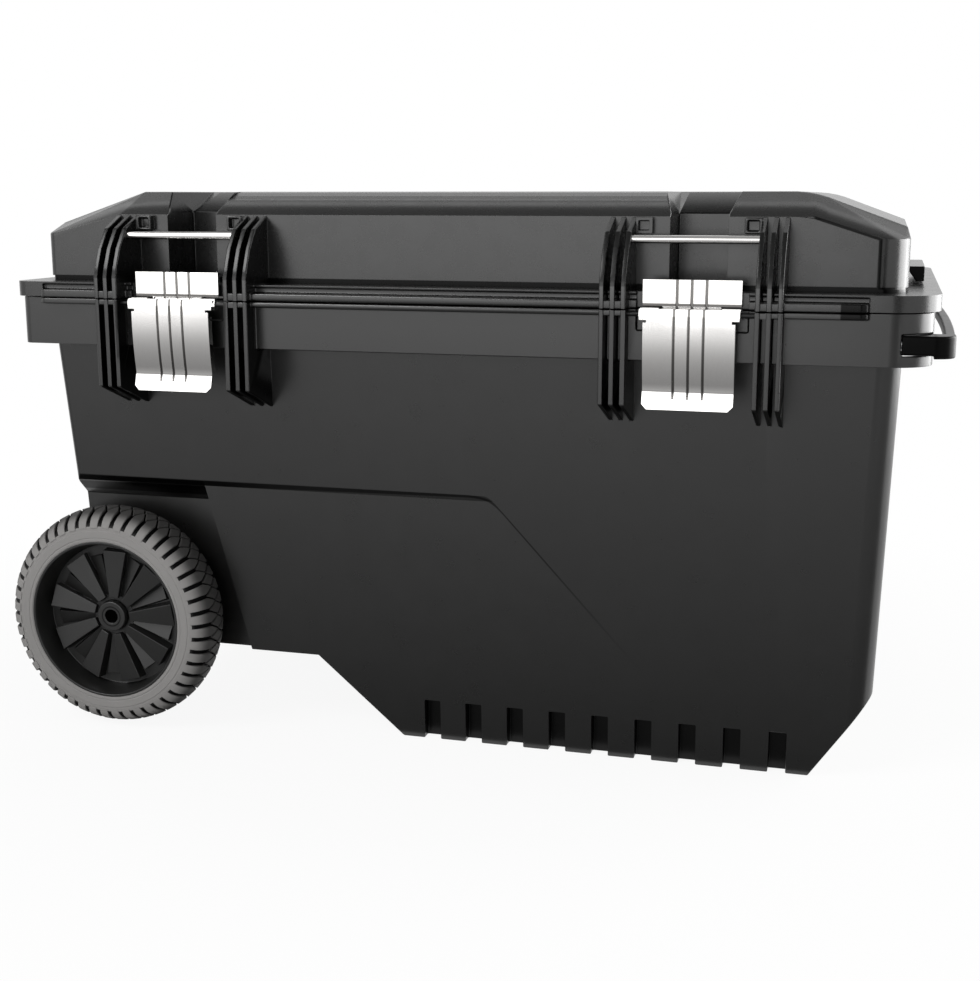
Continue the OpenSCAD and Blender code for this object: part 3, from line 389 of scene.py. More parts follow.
FOOT_Z = (0.3527, 0.3563)
FOOT_SIDE = (0.17, 0.1885)
FOOT_END_X = (0.31, 0.323)
NOTCH_Y = (-0.1795, -0.09)
NOTCH_Z = (0.4045, 0.4193)
NOTCH_HALF = 20.7 * MM  # at its floor
NOTCH_FLOOR_HALF = 19.7 * MM
NOTCH_FLOOR_Z = 0.405
NOTCH_WIDENS = 0.4
NOTCH_LEAN = -0.36
WALL_SIDE = 0.1845
SLOPE_FROM, SLOPE_TO = (0.2595, 0.403), (0.3045, 0.3885)  # X and Z along the crease
SLOPE_WIDTH = (-0.7 * MM, 0.5 * MM)
SLOPE_X = (0.262, 0.304)
UPRIGHT_X = (0.3038, 0.3052)
UPRIGHT_Z = (0.356, 0.388)
LID_RIB_SIDE, LID_RIB_FOOT = 0.189, 0.357
LIP_X, LIP_Z = 0.3222, 0.3558
SHOULDER_X, SHOULDER_FALL = 0.26, 0.34
TOP_EDGE_Z = (0.4045, 0.4205)
TOP_EDGE_SIDE = 0.15
TOP_EDGE_LEAN = 1.6
END_X = 0.3045
END_Z = (0.3555, 0.3885)
END_TURN_X = (0.306, 0.324)
END_LEAN, END_TURN_LEAN = 0.07, 0.22


def lid_shadows():
    """Painted shade and leaned shading of the lid.

    Painted dark are the step at the wall's foot, the notches over the latches, the crease and the lip at
    the handle's end, the ribs and the beads' end. The top edge leans up, the notch floors lean back and the
    handle's end leans outward.
    """
    group, given, out = shading_group("lid_shadows")
    x, y, z = object_axes(group)
    side = absolute(group, y)
    foot = product(
        group, within(group, z, *FOOT_Z, 0.7 * MM), within(group, side, *FOOT_SIDE, 1 * MM),
        step_down(group, x, *FOOT_END_X), DARKNESS["foot"])
    notches = 0.0
    floors = 0.0
    for station in STATIONS:
        across = distance(group, x, station)
        widening = product(group, difference(group, z, NOTCH_FLOOR_Z), NOTCH_WIDENS)
        notch = product(
            group, above(group, difference(group, widening, across), -NOTCH_HALF),
            within(group, y, *NOTCH_Y, 1 * MM), within(group, z, *NOTCH_Z, 0.4 * MM), DARKNESS["notch"])
        notches = chained(group, "ADD", notch, notches)
        floors = chained(
            group, "ADD", product(group, notch, below(group, across, NOTCH_FLOOR_HALF)), floors)
    slope = product(
        group, within(group, slanting(group, x, z, SLOPE_FROM, SLOPE_TO), *SLOPE_WIDTH, 0.7 * MM),
        within(group, x, *SLOPE_X, 3 * MM))
    upright = product(
        group, within(group, x, *UPRIGHT_X, 0.9 * MM), within(group, z, *UPRIGHT_Z, 1.5 * MM))
    crease = product(
        group, chained(group, "MAXIMUM", slope, upright), above(group, side, WALL_SIDE),
        DARKNESS["crease"])
    lip = product(group, above(group, x, LIP_X), above(group, z, LIP_Z), DARKNESS["lip"])
    ribs = product(
        group, in_ribs(group, x), above(group, side, LID_RIB_SIDE), above(group, z, LID_RIB_FOOT),
        DARKNESS["lid ribs"])
    group.links.new(
        chained(group, "MAXIMUM", foot, notches, crease, ribs, lip, bead_end(group, x, side, z)),
        out.inputs["Dark"])

    past_shoulder = chained(group, "MAXIMUM", difference(group, absolute(group, x), SHOULDER_X), 0.0)
    level = chained(group, "ADD", z, product(group, past_shoulder, SHOULDER_FALL))
    upward = product(
        group, step_up(group, level, *TOP_EDGE_Z), above(group, side, TOP_EDGE_SIDE),
        below(group, notches, 0.1), TOP_EDGE_LEAN)
    turning = product(group, step_up(group, x, *END_TURN_X), END_TURN_LEAN)
    outward = product(
        group, chained(group, "ADD", turning, END_LEAN), above(group, x, END_X),
        within(group, z, *END_Z, 1 * MM))
    inward = product(group, floors, NOTCH_LEAN)
    group.links.new(
        leaned_normal(group, given.outputs["Normal"], X=outward, Y=inward, Z=upward),
        out.inputs["Normal"])
    return group


PANEL_TOP = 0.198
PANEL_TURN = 0.032
PANEL_FADE = (0.160, 0.058)  # X and Z where the slanting line ends
PANEL_ROUND = 0.016
PANEL_LINE_X = (-0.15, 0.04)
PANEL_LINE_HALF = (1.9 * MM, 0.75 * MM)
PANEL_LINE_Z = (0.062, 0.18)
PANEL_SIDE = 0.172
FLUTE_SIDE, FLUTE_TOP = 0.1718, 0.0318
FLUTE_X = (-0.024, 0.258)
WELL_Z = (0.185, 0.197)
WELL_END, WELL_SIDE = -0.2, 0.165
BAND_FOOT, BAND_SIDE = 0.306, 0.2165
WALL_AT_FLOOR, WALL_SPREAD = 0.17430, 0.04719  # side at Z 0, and its gain per metre of height
RIB_SIDE_END = 0.2268


def tub_shadows():
    """Painted shade on the tub.

    It is painted on the line over the lower panel, which thins and fades down its slanting side, on the
    foot's flutes, the ceiling of the wheel wells, the sides of the ribs and the beads' end.
    """
    group, _, out = new_group("tub_shadows", [], [("Dark", "NodeSocketFloat")])
    x, y, z = object_axes(group)
    side = absolute(group, y)
    edge = add(group, "ShaderNodeMath", operation="SMOOTH_MAX")
    group.links.new(difference(group, z, PANEL_TOP), edge.inputs[0])
    group.links.new(slanting(group, x, z, (PANEL_TURN, PANEL_TOP), PANEL_FADE), edge.inputs[1])
    edge.inputs[2].default_value = PANEL_ROUND
    thinning = add(group, "ShaderNodeMapRange")
    for label, value in zip(
        ("From Min", "From Max", "To Min", "To Max"), (*PANEL_LINE_X, *PANEL_LINE_HALF),
    ):
        thinning.inputs[label].default_value = value
    group.links.new(x, thinning.inputs["Value"])
    line_half = thinning.outputs["Result"]
    from_line = absolute(group, chained(group, "ADD", edge.outputs[0], line_half))
    line = step_down(group, chained(group, "DIVIDE", from_line, line_half), 0.8, 1.5)
    panel = product(
        group, line, step_up(group, z, *PANEL_LINE_Z), above(group, side, PANEL_SIDE), DARKNESS["panel"])
    flutes = product(
        group, below(group, side, FLUTE_SIDE), below(group, z, FLUTE_TOP),
        within(group, x, *FLUTE_X, 1 * MM), DARKNESS["flutes"])
    well = product(
        group, within(group, z, *WELL_Z, 1.2 * MM), below(group, x, WELL_END),
        above(group, side, WELL_SIDE), DARKNESS["well"])
    wall = chained(group, "ADD", product(group, z, WALL_SPREAD), WALL_AT_FLOOR)
    band = product(group, above(group, z, BAND_FOOT), BAND_SIDE)
    root = chained(group, "MAXIMUM", wall, band)
    rib_sides = product(
        group, in_ribs(group, x), above(group, difference(group, side, root), 0.0),
        below(group, side, RIB_SIDE_END), DARKNESS["rib sides"])
    group.links.new(
        chained(group, "MAXIMUM", panel, flutes, well, rib_sides, bead_end(group, x, side, z)),
        out.inputs["Dark"])
    return group


GRAIN = moulded_grain()
DRAWN = drawn_steel()
PLATE_SHADE = plate_painted_shade()
TREAD = tread_painted_shade()
HOLE = cap_hole_shade()
LID_SHADOWS = lid_shadows()
TUB_SHADOWS = tub_shadows()


def finish_of(name, group, values, bump, bump_size, metallic=0.0, specular=0.5):
    """A material whose colour, roughness and relief come from one of the shader groups."""
    material = bpy.data.materials.new(name)
    material.use_nodes = True
    tree = material.node_tree
    shader = tree.nodes["Principled BSDF"]
    effect = tree.nodes.new("ShaderNodeGroup")
    effect.node_tree = group
    for label, value in values.items():
        effect.inputs[label].default_value = value
    relief = add(tree, "ShaderNodeBump", Strength=bump, Distance=bump_size)
    tree.links.new(effect.outputs["Color"], shader.inputs["Base Color"])
    tree.links.new(effect.outputs["Roughness"], shader.inputs["Roughness"])
    tree.links.new(effect.outputs["Height"], relief.inputs["Height"])
    tree.links.new(relief.outputs["Normal"], shader.inputs["Normal"])
    shader.inputs["Metallic"].default_value = metallic
    shader.inputs["Specular IOR Level"].default_value = specular
    return material


def darkened(material, mask_group, dark):
    """A finish with painted shade: it turns dark, and on a plastic dull, where the group's mask is 1."""
    tree = material.node_tree
    shader = tree.nodes["Principled BSDF"]
    mask = tree.nodes.new("ShaderNodeGroup")
    mask.node_tree = mask_group
    mix = add(tree, "ShaderNodeMix", data_type="RGBA")
    tree.links.new(mask.outputs["Dark"], mix.inputs["Factor"])
    tree.links.new(shader.inputs["Base Color"].links[0].from_socket, mix.inputs["A"])
    mix.inputs["B"].default_value = (*dark, 1)
    tree.links.new(mix.outputs["Result"], shader.inputs["Base Color"])
    if shader.inputs["Metallic"].default_value == 0.0:
        tree.links.new(mask.outputs["Dark"], shader.inputs["Metallic"])
    if "Normal" in mask.inputs:
        tree.links.new(shader.inputs["Normal"].links[0].from_socket, mask.inputs["Normal"])
        tree.links.new(mask.outputs["Normal"], shader.inputs["Normal"])
    return material


def plastic(name, color, low, high, bump=0.25, specular=0.5, mottle=0.1):
    values = {"Color": (*color, 1), "Mottle": mottle, "Roughness Low": low, "Roughness High": high}
    return finish_of(name, GRAIN, values, bump, 0.1 * MM, specular=specular)


def steel(name, color, low, high, bump=0.05):
    values = {"Color": (*color, 1), "Roughness Low": low, "Roughness High": high}
    return finish_of(name, DRAWN, values, bump, 0.05 * MM, metallic=1.0)


MOULDED_BLACK = (0.004, 0.004, 0.0038)
SHADOW_BLACK = (0.001, 0.001, 0.001)
BRIGHT_STEEL = (0.88, 0.865, 0.85)
LATCH_PLATES = ("latch_lever_left", "latch_lever_right", "latch_hook_left", "latch_hook_right")

FINISHES = {
    # The tub's dark marks are painted shade on its panel line, flutes, well ceilings, rib sides and bead
    # ends
    "tub_plastic": darkened(
        plastic("tub_plastic", MOULDED_BLACK, 0.24, 0.34, bump=0.08, specular=0.78),
        TUB_SHADOWS, SHADOW_BLACK),
    # The lid's dark marks are painted shade at its foot, notches, crease, lip, ribs and bead ends
    "lid_plastic": darkened(
        plastic("lid_plastic", MOULDED_BLACK, 0.22, 0.32, bump=0.08, specular=0.78),
        LID_SHADOWS, SHADOW_BLACK),
    "wheel_plastic": plastic("wheel_plastic", (0.01, 0.01, 0.0096), 0.34, 0.46, bump=0.12, specular=0.55),
    # The cap's dark colour is painted shade in its hole and a painted shadow ring round it
    "cap_plastic": darkened(
        plastic("cap_plastic", (0.014, 0.014, 0.0135), 0.3, 0.4, bump=0.1, specular=0.6),
        HOLE, SHADOW_BLACK),
    "grip_plastic": plastic("grip_plastic", (0.002, 0.002, 0.002), 0.25, 0.35, bump=0.1, specular=0.06),
    "bearing_plastic": plastic("bearing_plastic", (0.01, 0.01, 0.01), 0.35, 0.5),
    "seal_rubber": plastic("seal_rubber", (0.01, 0.01, 0.01), 0.6, 0.75),
    # The tyre's dark colour is painted shade in the tread's grooves and towards its middle
    "tyre_grey": darkened(
        plastic("tyre_grey", (0.27, 0.263, 0.257), 0.62, 0.8, bump=0.3, specular=0.25, mottle=0.12),
        TREAD, (0.012, 0.012, 0.012)),
    "polished_steel": steel("polished_steel", BRIGHT_STEEL, 0.08, 0.16, bump=0.03),
    # The latch plates' darker colour is painted shade in their grooves and along the seam over the lever
    "latch_steel": darkened(
        steel("latch_steel", BRIGHT_STEEL, 0.08, 0.16, bump=0.03), PLATE_SHADE, (0.13, 0.125, 0.12)),
    "plated_steel": steel("plated_steel", (0.62, 0.62, 0.63), 0.25, 0.4),
    # Near black as painted shade, so that the pins read as the shade of the gaps they sit in
    "dark_steel": steel("dark_steel", (0.035, 0.035, 0.035), 0.3, 0.45),
}
FINISH_OF = {"axle_caps": "cap_plastic", **{plate: "latch_steel" for plate in LATCH_PLATES}}


# Pieces


def shade_by_angle(bm, degrees):
    """Smooth faces, with creases kept sharp."""
    for face in bm.faces:
        face.smooth = True
    for edge in bm.edges:
        edge.smooth = len(edge.link_faces) == 2 and edge.calc_face_angle(0) < math.radians(degrees)


BODY_OF = {
    node: body for body, nodes in frame["record"]["behaviour"]["bodies"].items() for node in nodes
}
SLOT_OF = {part["node"]: part["material_slot"] for part in frame["record"]["subparts"]}


def finish_for(node):
    """The node's own finish, or else its material slot's."""
    return FINISHES[FINISH_OF.get(node, SLOT_OF[node])]


def place_piece(bm, name, node, radius=0.0):
    """Makes the finished mesh an object on its CAD body, in place of its CAD node."""
    body, slot = BODY_OF[node], SLOT_OF[node]
    mesh = bpy.data.meshes.new(name)
    bm.to_mesh(mesh)
    piece = bpy.data.objects.new(name, mesh)
    bpy.context.scene.collection.objects.link(piece)
    if radius:
        rounding = piece.modifiers.new("rounded_edges", "BEVEL")
        rounding.width = radius
        rounding.segments = 3
        rounding.limit_method = "WEIGHT"
        rounding.use_clamp_overlap = False
        rounding.miter_outer = "MITER_ARC"
        settle_widths(bm, piece)
    bm.free()
    mesh.materials.append(finish_for(node))
    weigh = piece.modifiers.new("even_shading", "WEIGHTED_NORMAL")
    weigh.mode = "FACE_AREA"
    weigh.keep_sharp = True
    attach(piece, body)
    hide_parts(node)


def merged_copy(node):
    """The CAD node's faces as one joined mesh, with flat faces whole."""
    bm = bmesh.new()
    bm.from_mesh(frame["nodes"][node].data)
    bmesh.ops.remove_doubles(bm, verts=bm.verts, dist=0.004 * MM)
    bmesh.ops.dissolve_limit(
        bm, angle_limit=math.radians(0.12), use_dissolve_boundaries=False, verts=bm.verts, edges=bm.edges
    )
    return bm


ROOM_SHARE = 0.42  # of the room beside an edge, for its rounding
LEAST_SHARE = 0.12  # of its width, under which an edge isn't rounded
FINEST = 0.12 * MM
CORNER = 20  # degrees


def room_beside(edge, width):
    """How far the two faces of an edge reach beside it before something else on them begins."""
    room = 4 * width
    start = edge.verts[0].co
    along = edge.verts[1].co - start
    length = along.length
    along.normalize()
    for face in edge.link_faces:
        loop = next(loop for loop in face.loops if loop.edge == edge)
        inward = face.normal.cross(along) * (1 if loop.vert == edge.verts[0] else -1)
        for vert in face.verts:
            if vert in edge.verts:
                continue
            off = vert.co - start
            place = off.dot(along)
            depth = off.dot(inward)
            beyond = max(-place, place - length, 0.0)
            if depth > 0.001 * MM and beyond < width and depth > 0.7 * beyond:
                room = min(room, depth)
    return room


def lead(chain_of, edge):
    """The edge that stands for the whole chain this edge is in."""
    while chain_of[edge] != edge:
        edge = chain_of[edge]
    return edge


def same_width_along_chains(fits, straight=35):
    """Edges that run on into each other take the least share among them."""
    chain_of = {edge: edge for edge in fits}
    for edge in fits:
        for vert in edge.verts:
            ahead = (vert.co - edge.other_vert(vert).co).normalized()
            for other in vert.link_edges:
                if other == edge or other not in fits:
                    continue
                onward = (other.other_vert(vert).co - vert.co).normalized()
                if ahead.angle(onward, math.pi) < math.radians(straight):
                    first, second = lead(chain_of, edge), lead(chain_of, other)
                    fits[first] = min(fits[first], fits[second])
                    chain_of[second] = first
    return {edge: fits[lead(chain_of, edge)] for edge in fits}


def folded_faces(mesh):
    """Plane, middle and reach of each face that folds over itself."""
    mesh.calc_loop_triangles()
    covered = {}
    for triangle in mesh.loop_triangles:
        covered[triangle.polygon_index] = covered.get(triangle.polygon_index, 0.0) + triangle.area
    found = []
    for index, area in covered.items():
        face = mesh.polygons[index]
        if area > 1.001 * face.area + 0.5 * MM * MM:
            points = [mesh.vertices[i].co.copy() for i in face.vertices]
            low = Vector([min(point[axis] for point in points) for axis in range(3)])
            high = Vector([max(point[axis] for point in points) for axis in range(3)])
            found.append((face.normal.copy(), points[0], low, high))
    return found


def settle_widths(bm, piece, tries=8):
    """Narrows the rounded edges beside any face that their rounding would fold."""
    share = bm.edges.layers.float["bevel_weight_edge"]
    for attempt in range(tries):
        bm.to_mesh(piece.data)
        rounded = piece.evaluated_get(bpy.context.evaluated_depsgraph_get())
        folded = folded_faces(rounded.to_mesh())
        rounded.to_mesh_clear()
        if not folded:
            break
        for face in bm.faces:
            for normal, point, low, high in folded:
                if face.normal.dot(normal) < 0.999:
                    continue
                if abs((face.verts[0].co - point).dot(normal)) > 0.05 * MM:
                    continue
                if any(
                    max(vert.co[axis] for vert in face.verts) < low[axis] - 0.1 * MM
                    or min(vert.co[axis] for vert in face.verts) > high[axis] + 0.1 * MM
                    for axis in range(3)
                ):
                    continue
                for edge in face.edges:
                    edge[share] *= 0.5 if attempt < tries - 3 else 0.0
                break
        fits = {edge: edge[share] for edge in bm.edges if edge[share] > 0}
        for edge, part in same_width_along_chains(fits).items():
            edge[share] = part
    for edge in bm.edges:
        too_fine = edge[share] * piece.modifiers[0].width < FINEST
        if too_fine and len(edge.link_faces) == 2 and edge.calc_face_angle(0) > math.radians(CORNER):
            edge.smooth = False
    bm.to_mesh(piece.data)


def round_edges(bm, width, wide_radius, degrees=28, shortest=0.2):
    """Gives each sharp edge its share of the widest radius, by its kind and by the room beside it."""
    share = bm.edges.layers.float.new("bevel_weight_edge")
    for face in bm.faces:
        face.smooth = True
    widest = width
    wanted = {}
    for edge in bm.edges:
        if len(edge.link_faces) != 2:
            continue
        corner = math.degrees(edge.calc_face_angle(0))
        radius = wide_radius(edge, corner) if wide_radius else 0.0
        if radius or corner > degrees:
            wanted[edge] = radius or width
            widest = max(widest, radius)
    fits = {}
    for edge, radius in wanted.items():
        room = ROOM_SHARE * room_beside(edge, radius)
        if room > LEAST_SHARE * width and edge.calc_length() > shortest * width:
            fits[edge] = min(radius, room) / widest
    for edge, part in same_width_along_chains(fits).items():
        edge[share] = part
    for edge in wanted:
        edge.smooth = edge in fits
    return widest


def softened_node(node, width, wide_radius=None):
    """A CAD node with rounded edges, a width in millimetres, and its own finish."""
    bm = merged_copy(node)
    widest = round_edges(bm, width * MM, wide_radius)
    place_piece(bm, node + "_dressed", node, widest)


SHOULDER_FOOT = 0.398
SHOULDER_SIDE = 0.180
LATCH_REACH = 0.068
TOP_ENDS = 0.312
TOP_RADIUS, TOP_END_RADIUS = 11 * MM, 4 * MM
BEAD_FRONT = -0.2215
BEAD_FACE_Z = (0.3362, 0.3478)
BEAD_RADIUS = 1.6 * MM


def lid_radius(edge, corner):
    """Wide radii on the lid's shoulders and on its bead; 0 leaves an edge to the usual radius."""
    middle = (edge.verts[0].co + edge.verts[1].co) / 2
    near_station = min(abs(middle.x - station) for station in STATIONS) < LATCH_REACH
    on_top = 8 < corner < 75 and middle.z > SHOULDER_FOOT and edge.calc_length() > 0.012
    if on_top and not near_station:
        if abs(middle.y) > SHOULDER_SIDE:
            return 0.0
        return TOP_RADIUS if abs(middle.x) < TOP_ENDS else TOP_END_RADIUS
    return bead_radius(edge, corner)


def bead_radius(edge, corner):
    """A wide radius on the long edges of the moulding bead's face."""
    middle = (edge.verts[0].co + edge.verts[1].co) / 2
    on_face = middle.y < BEAD_FRONT and BEAD_FACE_Z[0] < middle.z < BEAD_FACE_Z[1]
    return BEAD_RADIUS if on_face and corner > 60 and edge.calc_length() > 0.1 else 0.0


for node, obj in frame["nodes"].items():
    obj.data.materials.clear()
    obj.data.materials.append(finish_for(node))

softened_node("tub", 0.9, bead_radius)
softened_node("lid", 0.9, lid_radius)
softened_node("wheel_hub_front", 0.5)
softened_node("wheel_hub_rear", 0.5)
for node in LATCH_PLATES:
    softened_node(node, 0.25)
softened_node("handle_grip", 1.6)
softened_node("axle_caps", 0.8)


# Tyres

LUGS = 48
LUG_H = 3.6
CHAMFER = 0.5
ROUND_ENDS = 84  # degrees across the tread, to each side
ROUND_STEPS = 20
SHARP_BLOCK = 24

# Rows of a block: angle across in degrees, half width in lug pitches
LUG_OUTLINE = (
    (4, 0.03), (12, 0.18), (24, 0.36), (36, 0.34), (50, 0.33), (64, 0.32), (78, 0.31), (88, 0.30))
DIAMOND_OUTLINE = ((-21, 0.03), (-11, 0.21), (0, 0.40), (11, 0.21), (21, 0.03))


def turned_point(centre, r, y, angle):
    """A point at radius r and depth y about the wheel's axis, with the angle counted from straight down."""
    return centre + Vector((r * math.sin(angle), y, -r * math.cos(angle))) * MM


class Tyre:
    """One treaded tyre about its CAD node's middle."""

    def __init__(self, node):
        low, high = (Vector(corner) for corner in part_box(node))
        self.node = node
        self.centre = (low + high) / 2
        self.radius = (high.z - low.z) / 2 / MM
        self.half = (high.y - low.y) / 2 / MM
        self.bm = bmesh.new()

    def on_round(self, across, sink):
        """Radius and depth on the tyre's round, at an angle across the tread, sunk below it."""
        rise = self.radius - SIDE_R - sink
        return SIDE_R + rise * math.cos(across), (self.half - 0.15 * sink) * math.sin(across)

    def carcass(self):
        """The body of the tyre under its lugs, with a stepped ring on each side."""
        side = [
            (RIM_R, 0.7), (RIM_R + 0.8, 0.15), (RIM_R + 2.2, 0.0), (RIM_R + 3.0, 0.35), (RIM_R + 3.6, 0.0),
            (SIDE_R - 2.4, 0.0), (SIDE_R - 1.8, 0.4), (SIDE_R - 0.6, 0.4),
        ]
        profile = [(r, -self.half + inset) for r, inset in side]
        profile += [
            self.on_round(math.radians(ROUND_ENDS * (2 * i / ROUND_STEPS - 1)), LUG_H)
            for i in range(ROUND_STEPS + 1)]
        profile += [(r, self.half - inset) for r, inset in reversed(side)]
        start = [self.bm.verts.new(turned_point(self.centre, r, y, 0)) for r, y in profile]
        edges = [self.bm.edges.new(pair) for pair in zip(start, start[1:] + start[:1])]
        bmesh.ops.spin(
            self.bm, geom=start + edges, cent=self.centre, axis=(0, 1, 0), angle=math.tau,
            steps=144, use_merge=True,
        )

    def block(self, place, rows):
        """One tread block, from the rows of its outline."""
        pitch = math.tau / LUGS
        levels = []
        for sink, grow in ((LUG_H + 0.6, 0.05), (CHAMFER, 0.0), (0.0, -CHAMFER / 11.0)):
            ring = []
            for side in (-1, 1):
                for across, half_width in rows if side < 0 else reversed(rows):
                    r, y = self.on_round(math.radians(across), sink)
                    spread_out = max(half_width + grow, 0.01)
                    ring.append(self.bm.verts.new(
                        turned_point(self.centre, r, y, (place + side * spread_out) * pitch)))
            levels.append(ring)
        count = len(levels[0])
        for lower, upper in zip(levels, levels[1:]):
            for i in range(count):
                j = (i + 1) % count
                self.bm.faces.new((lower[i], lower[j], upper[j], upper[i]))
        top = levels[-1]
        for i in range(count // 2 - 1):
            self.bm.faces.new((top[i], top[i + 1], top[count - 2 - i], top[count - 1 - i]))

    def tread(self):
        """Long shoulder lugs with pointed inner ends, and a row of diamonds between their points."""
        for i in range(LUGS):
            for side in (-1, 1):
                self.block(i + 0.5, [(side * across, half_width) for across, half_width in LUG_OUTLINE])
            self.block(i, DIAMOND_OUTLINE)

    def finish(self):
        self.carcass()
        self.tread()
        bmesh.ops.recalc_face_normals(self.bm, faces=self.bm.faces)
        shade_by_angle(self.bm, SHARP_BLOCK)
        place_piece(self.bm, self.node + "_treaded", self.node)


for node in ("wheel_tyre_front", "wheel_tyre_rear"):
    Tyre(node).finish()


# Studio


def shader_surface(name, build):
    material = bpy.data.materials.new(name)
    material.use_nodes = True
    material.node_tree.nodes.clear()
    build(material.node_tree)
    return material


def seen_directly(tree):
    """1 for rays from the camera or by way of a mirror or glass, 0 for light on the object."""
    path = add(tree, "ShaderNodeLightPath")
    rays = [path.outputs[f"Is {kind} Ray"] for kind in ("Camera", "Glossy", "Transmission")]
    return chained(tree, "MAXIMUM", *rays)


def world_light(strength):
    """White where it is seen, and a weaker even light on the object."""
    world = bpy.data.worlds.new("studio")
    bpy.context.scene.world = world
    world.use_nodes = True
    tree = world.node_tree
    tree.nodes.clear()
    white = add(tree, "ShaderNodeBackground", Color=(1, 1, 1, 1), Strength=1.0)
    soft = add(tree, "ShaderNodeBackground", Color=(1, 1, 1, 1), Strength=strength)
    mix = add(tree, "ShaderNodeMixShader")
    out = add(tree, "ShaderNodeOutputWorld")
    tree.links.new(seen_directly(tree), mix.inputs["Fac"])
    tree.links.new(soft.outputs[0], mix.inputs[1])
    tree.links.new(white.outputs[0], mix.inputs[2])
    tree.links.new(mix.outputs[0], out.inputs["Surface"])


def flat_board(name, corners, material):
    """A flat stage board through four corners."""
    mesh = bpy.data.meshes.new(name)
    mesh.from_pydata(corners, [], [range(len(corners))])
    mesh.materials.append(material)
    board = bpy.data.objects.new(name, mesh)
    bpy.context.scene.collection.objects.link(board)
    return board


def paper(tree, shade, glow):
    """Pale paper that is white where it is seen, apart from the object's shadow."""
    lit = add(tree, "ShaderNodeBsdfDiffuse", Color=(shade, shade, shade, 1))
    white = add(tree, "ShaderNodeEmission", Color=(1, 1, 1, 1), Strength=1.0)
    place = add(tree, "ShaderNodeTexCoord")
    far = add(tree, "ShaderNodeVectorMath", operation="LENGTH")
    tree.links.new(place.outputs["Object"], far.inputs[0])
    fade = add(tree, "ShaderNodeMapRange")
    for label, value in (("From Min", 0.35), ("From Max", 0.8), ("To Min", glow), ("To Max", 1.0)):
        fade.inputs[label].default_value = value
    tree.links.new(far.outputs["Value"], fade.inputs["Value"])
    mix = add(tree, "ShaderNodeMixShader")
    out = add(tree, "ShaderNodeOutputMaterial")
    tree.links.new(product(tree, seen_directly(tree), fade.outputs["Result"]), mix.inputs["Fac"])
    tree.links.new(lit.outputs[0], mix.inputs[1])
    tree.links.new(white.outputs[0], mix.inputs[2])
    tree.links.new(mix.outputs[0], out.inputs["Surface"])


def dull(tree, shade):
    """Even dark card that gives its own dim light."""
    card = add(tree, "ShaderNodeEmission", Color=(shade, shade, shade, 1), Strength=1.0)
    out = add(tree, "ShaderNodeOutputMaterial")
    tree.links.new(card.outputs[0], out.inputs["Surface"])


def falling_shade(tree, near, far, reach):
    """Painted floor shade for reflections: dark at the box's foot and pale far in front of it."""
    from_foot = chained(tree, "ADD", object_axes(tree)[1], 0.2)
    fall = add(tree, "ShaderNodeMath", operation="EXPONENT")
    tree.links.new(chained(tree, "DIVIDE", from_foot, reach), fall.inputs[0])
    shade = chained(tree, "ADD", product(tree, fall.outputs[0], near - far), far)
    card = add(tree, "ShaderNodeEmission", Color=(1, 1, 1, 1))
    out = add(tree, "ShaderNodeOutputMaterial")
    tree.links.new(shade, card.inputs["Strength"])
    tree.links.new(card.outputs[0], out.inputs["Surface"])


def soft_box(name, place, aim, size, power):
    """A rectangular lamp that faces the aim point."""
    lamp = bpy.data.lights.new(name, "AREA")
    lamp.shape = "RECTANGLE"
    lamp.size, lamp.size_y = size
    lamp.energy = power
    holder = bpy.data.objects.new(name, lamp)
    bpy.context.scene.collection.objects.link(holder)
    holder.location = place
    holder.rotation_euler = (Vector(aim) - Vector(place)).to_track_quat("-Z", "Y").to_euler()


FLOOR_REACH = 12.0
CARD_HEIGHT = 0.8 * MM
CARD_NEAR, CARD_FAR = -0.178, -4.9

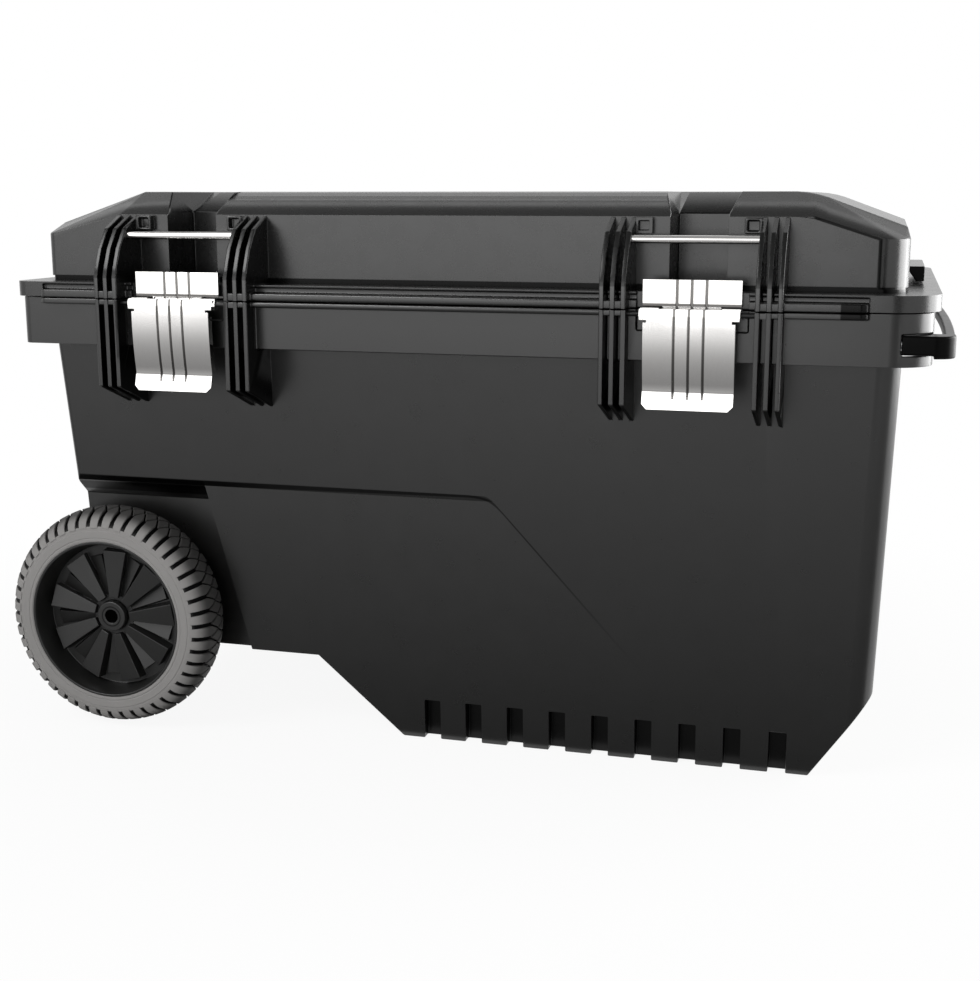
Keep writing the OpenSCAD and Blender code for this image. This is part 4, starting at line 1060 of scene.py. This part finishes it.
world_light(0.35)
flat_board(
    "floor",
    [(-FLOOR_REACH, -FLOOR_REACH, 0), (FLOOR_REACH, -FLOOR_REACH, 0),
     (FLOOR_REACH, FLOOR_REACH, 0), (-FLOOR_REACH, FLOOR_REACH, 0)],
    shader_surface("floor_paper", lambda tree: paper(tree, 0.8, 0.92)),
)

# Cards that only the object's reflections show: a stand-in for the floor in front of it with painted shade,
# a dark one and a ceiling
for name, build, corners in (
    ("front_card", lambda tree: falling_shade(tree, 0.18, 0.88, 1.2),
     [(-5, CARD_FAR, CARD_HEIGHT), (5, CARD_FAR, CARD_HEIGHT),
      (5, CARD_NEAR, CARD_HEIGHT), (-5, CARD_NEAR, CARD_HEIGHT)]),
    ("side_card", lambda tree: dull(tree, 0.01),
     [(0.46, -2.4, 0.01), (1.25, -2.4, 0.01), (1.25, -2.4, 2.2), (0.46, -2.4, 2.2)]),
    ("ceiling_card", lambda tree: dull(tree, 0.3),
     [(-4, -4, 3.2), (-4, 2, 3.2), (4, 2, 3.2), (4, -4, 3.2)]),
):
    card = flat_board(name, corners, shader_surface(name, build))
    card.visible_camera = False
    card.visible_diffuse = False
    card.visible_shadow = False

soft_box("front", (-1.2, -5.0, 0.96), (-1.2, 0, 0.96), (5.0, 1.9), 41)
soft_box("key", (-1.6, -2.0, 2.6), (0, 0, 0.2), (1.6, 1.2), 50)
soft_box("right", (1.9, 0.85, 0.76), (0.3, 0, 0.3), (2.4, 1.5), 70)


# Camera

RIGHT = Vector((0.9643, 0.2648, 0.0))
UP = Vector((-0.0524, 0.1909, 0.9802))
AHEAD = Vector((-0.2596, 0.9452, -0.1979))
CAMERA_PLACE = Vector((0.31403, -1.20506, 0.41658))
FOCAL_SHARE = 1456.77 / 981  # focal length over the picture's longer side

camera_data = bpy.data.cameras.new("camera")
camera_data.sensor_width = 36.0
camera_data.lens = FOCAL_SHARE * camera_data.sensor_width
camera_data.clip_start = 0.05
camera_data.clip_end = 50
camera = bpy.data.objects.new("camera", camera_data)
bpy.context.scene.collection.objects.link(camera)
turn = Matrix((RIGHT, UP, -AHEAD)).transposed().to_4x4()
camera.matrix_world = Matrix.Translation(CAMERA_PLACE) @ turn
bpy.context.scene.camera = camera

bpy.context.scene.view_settings.view_transform = "Standard"
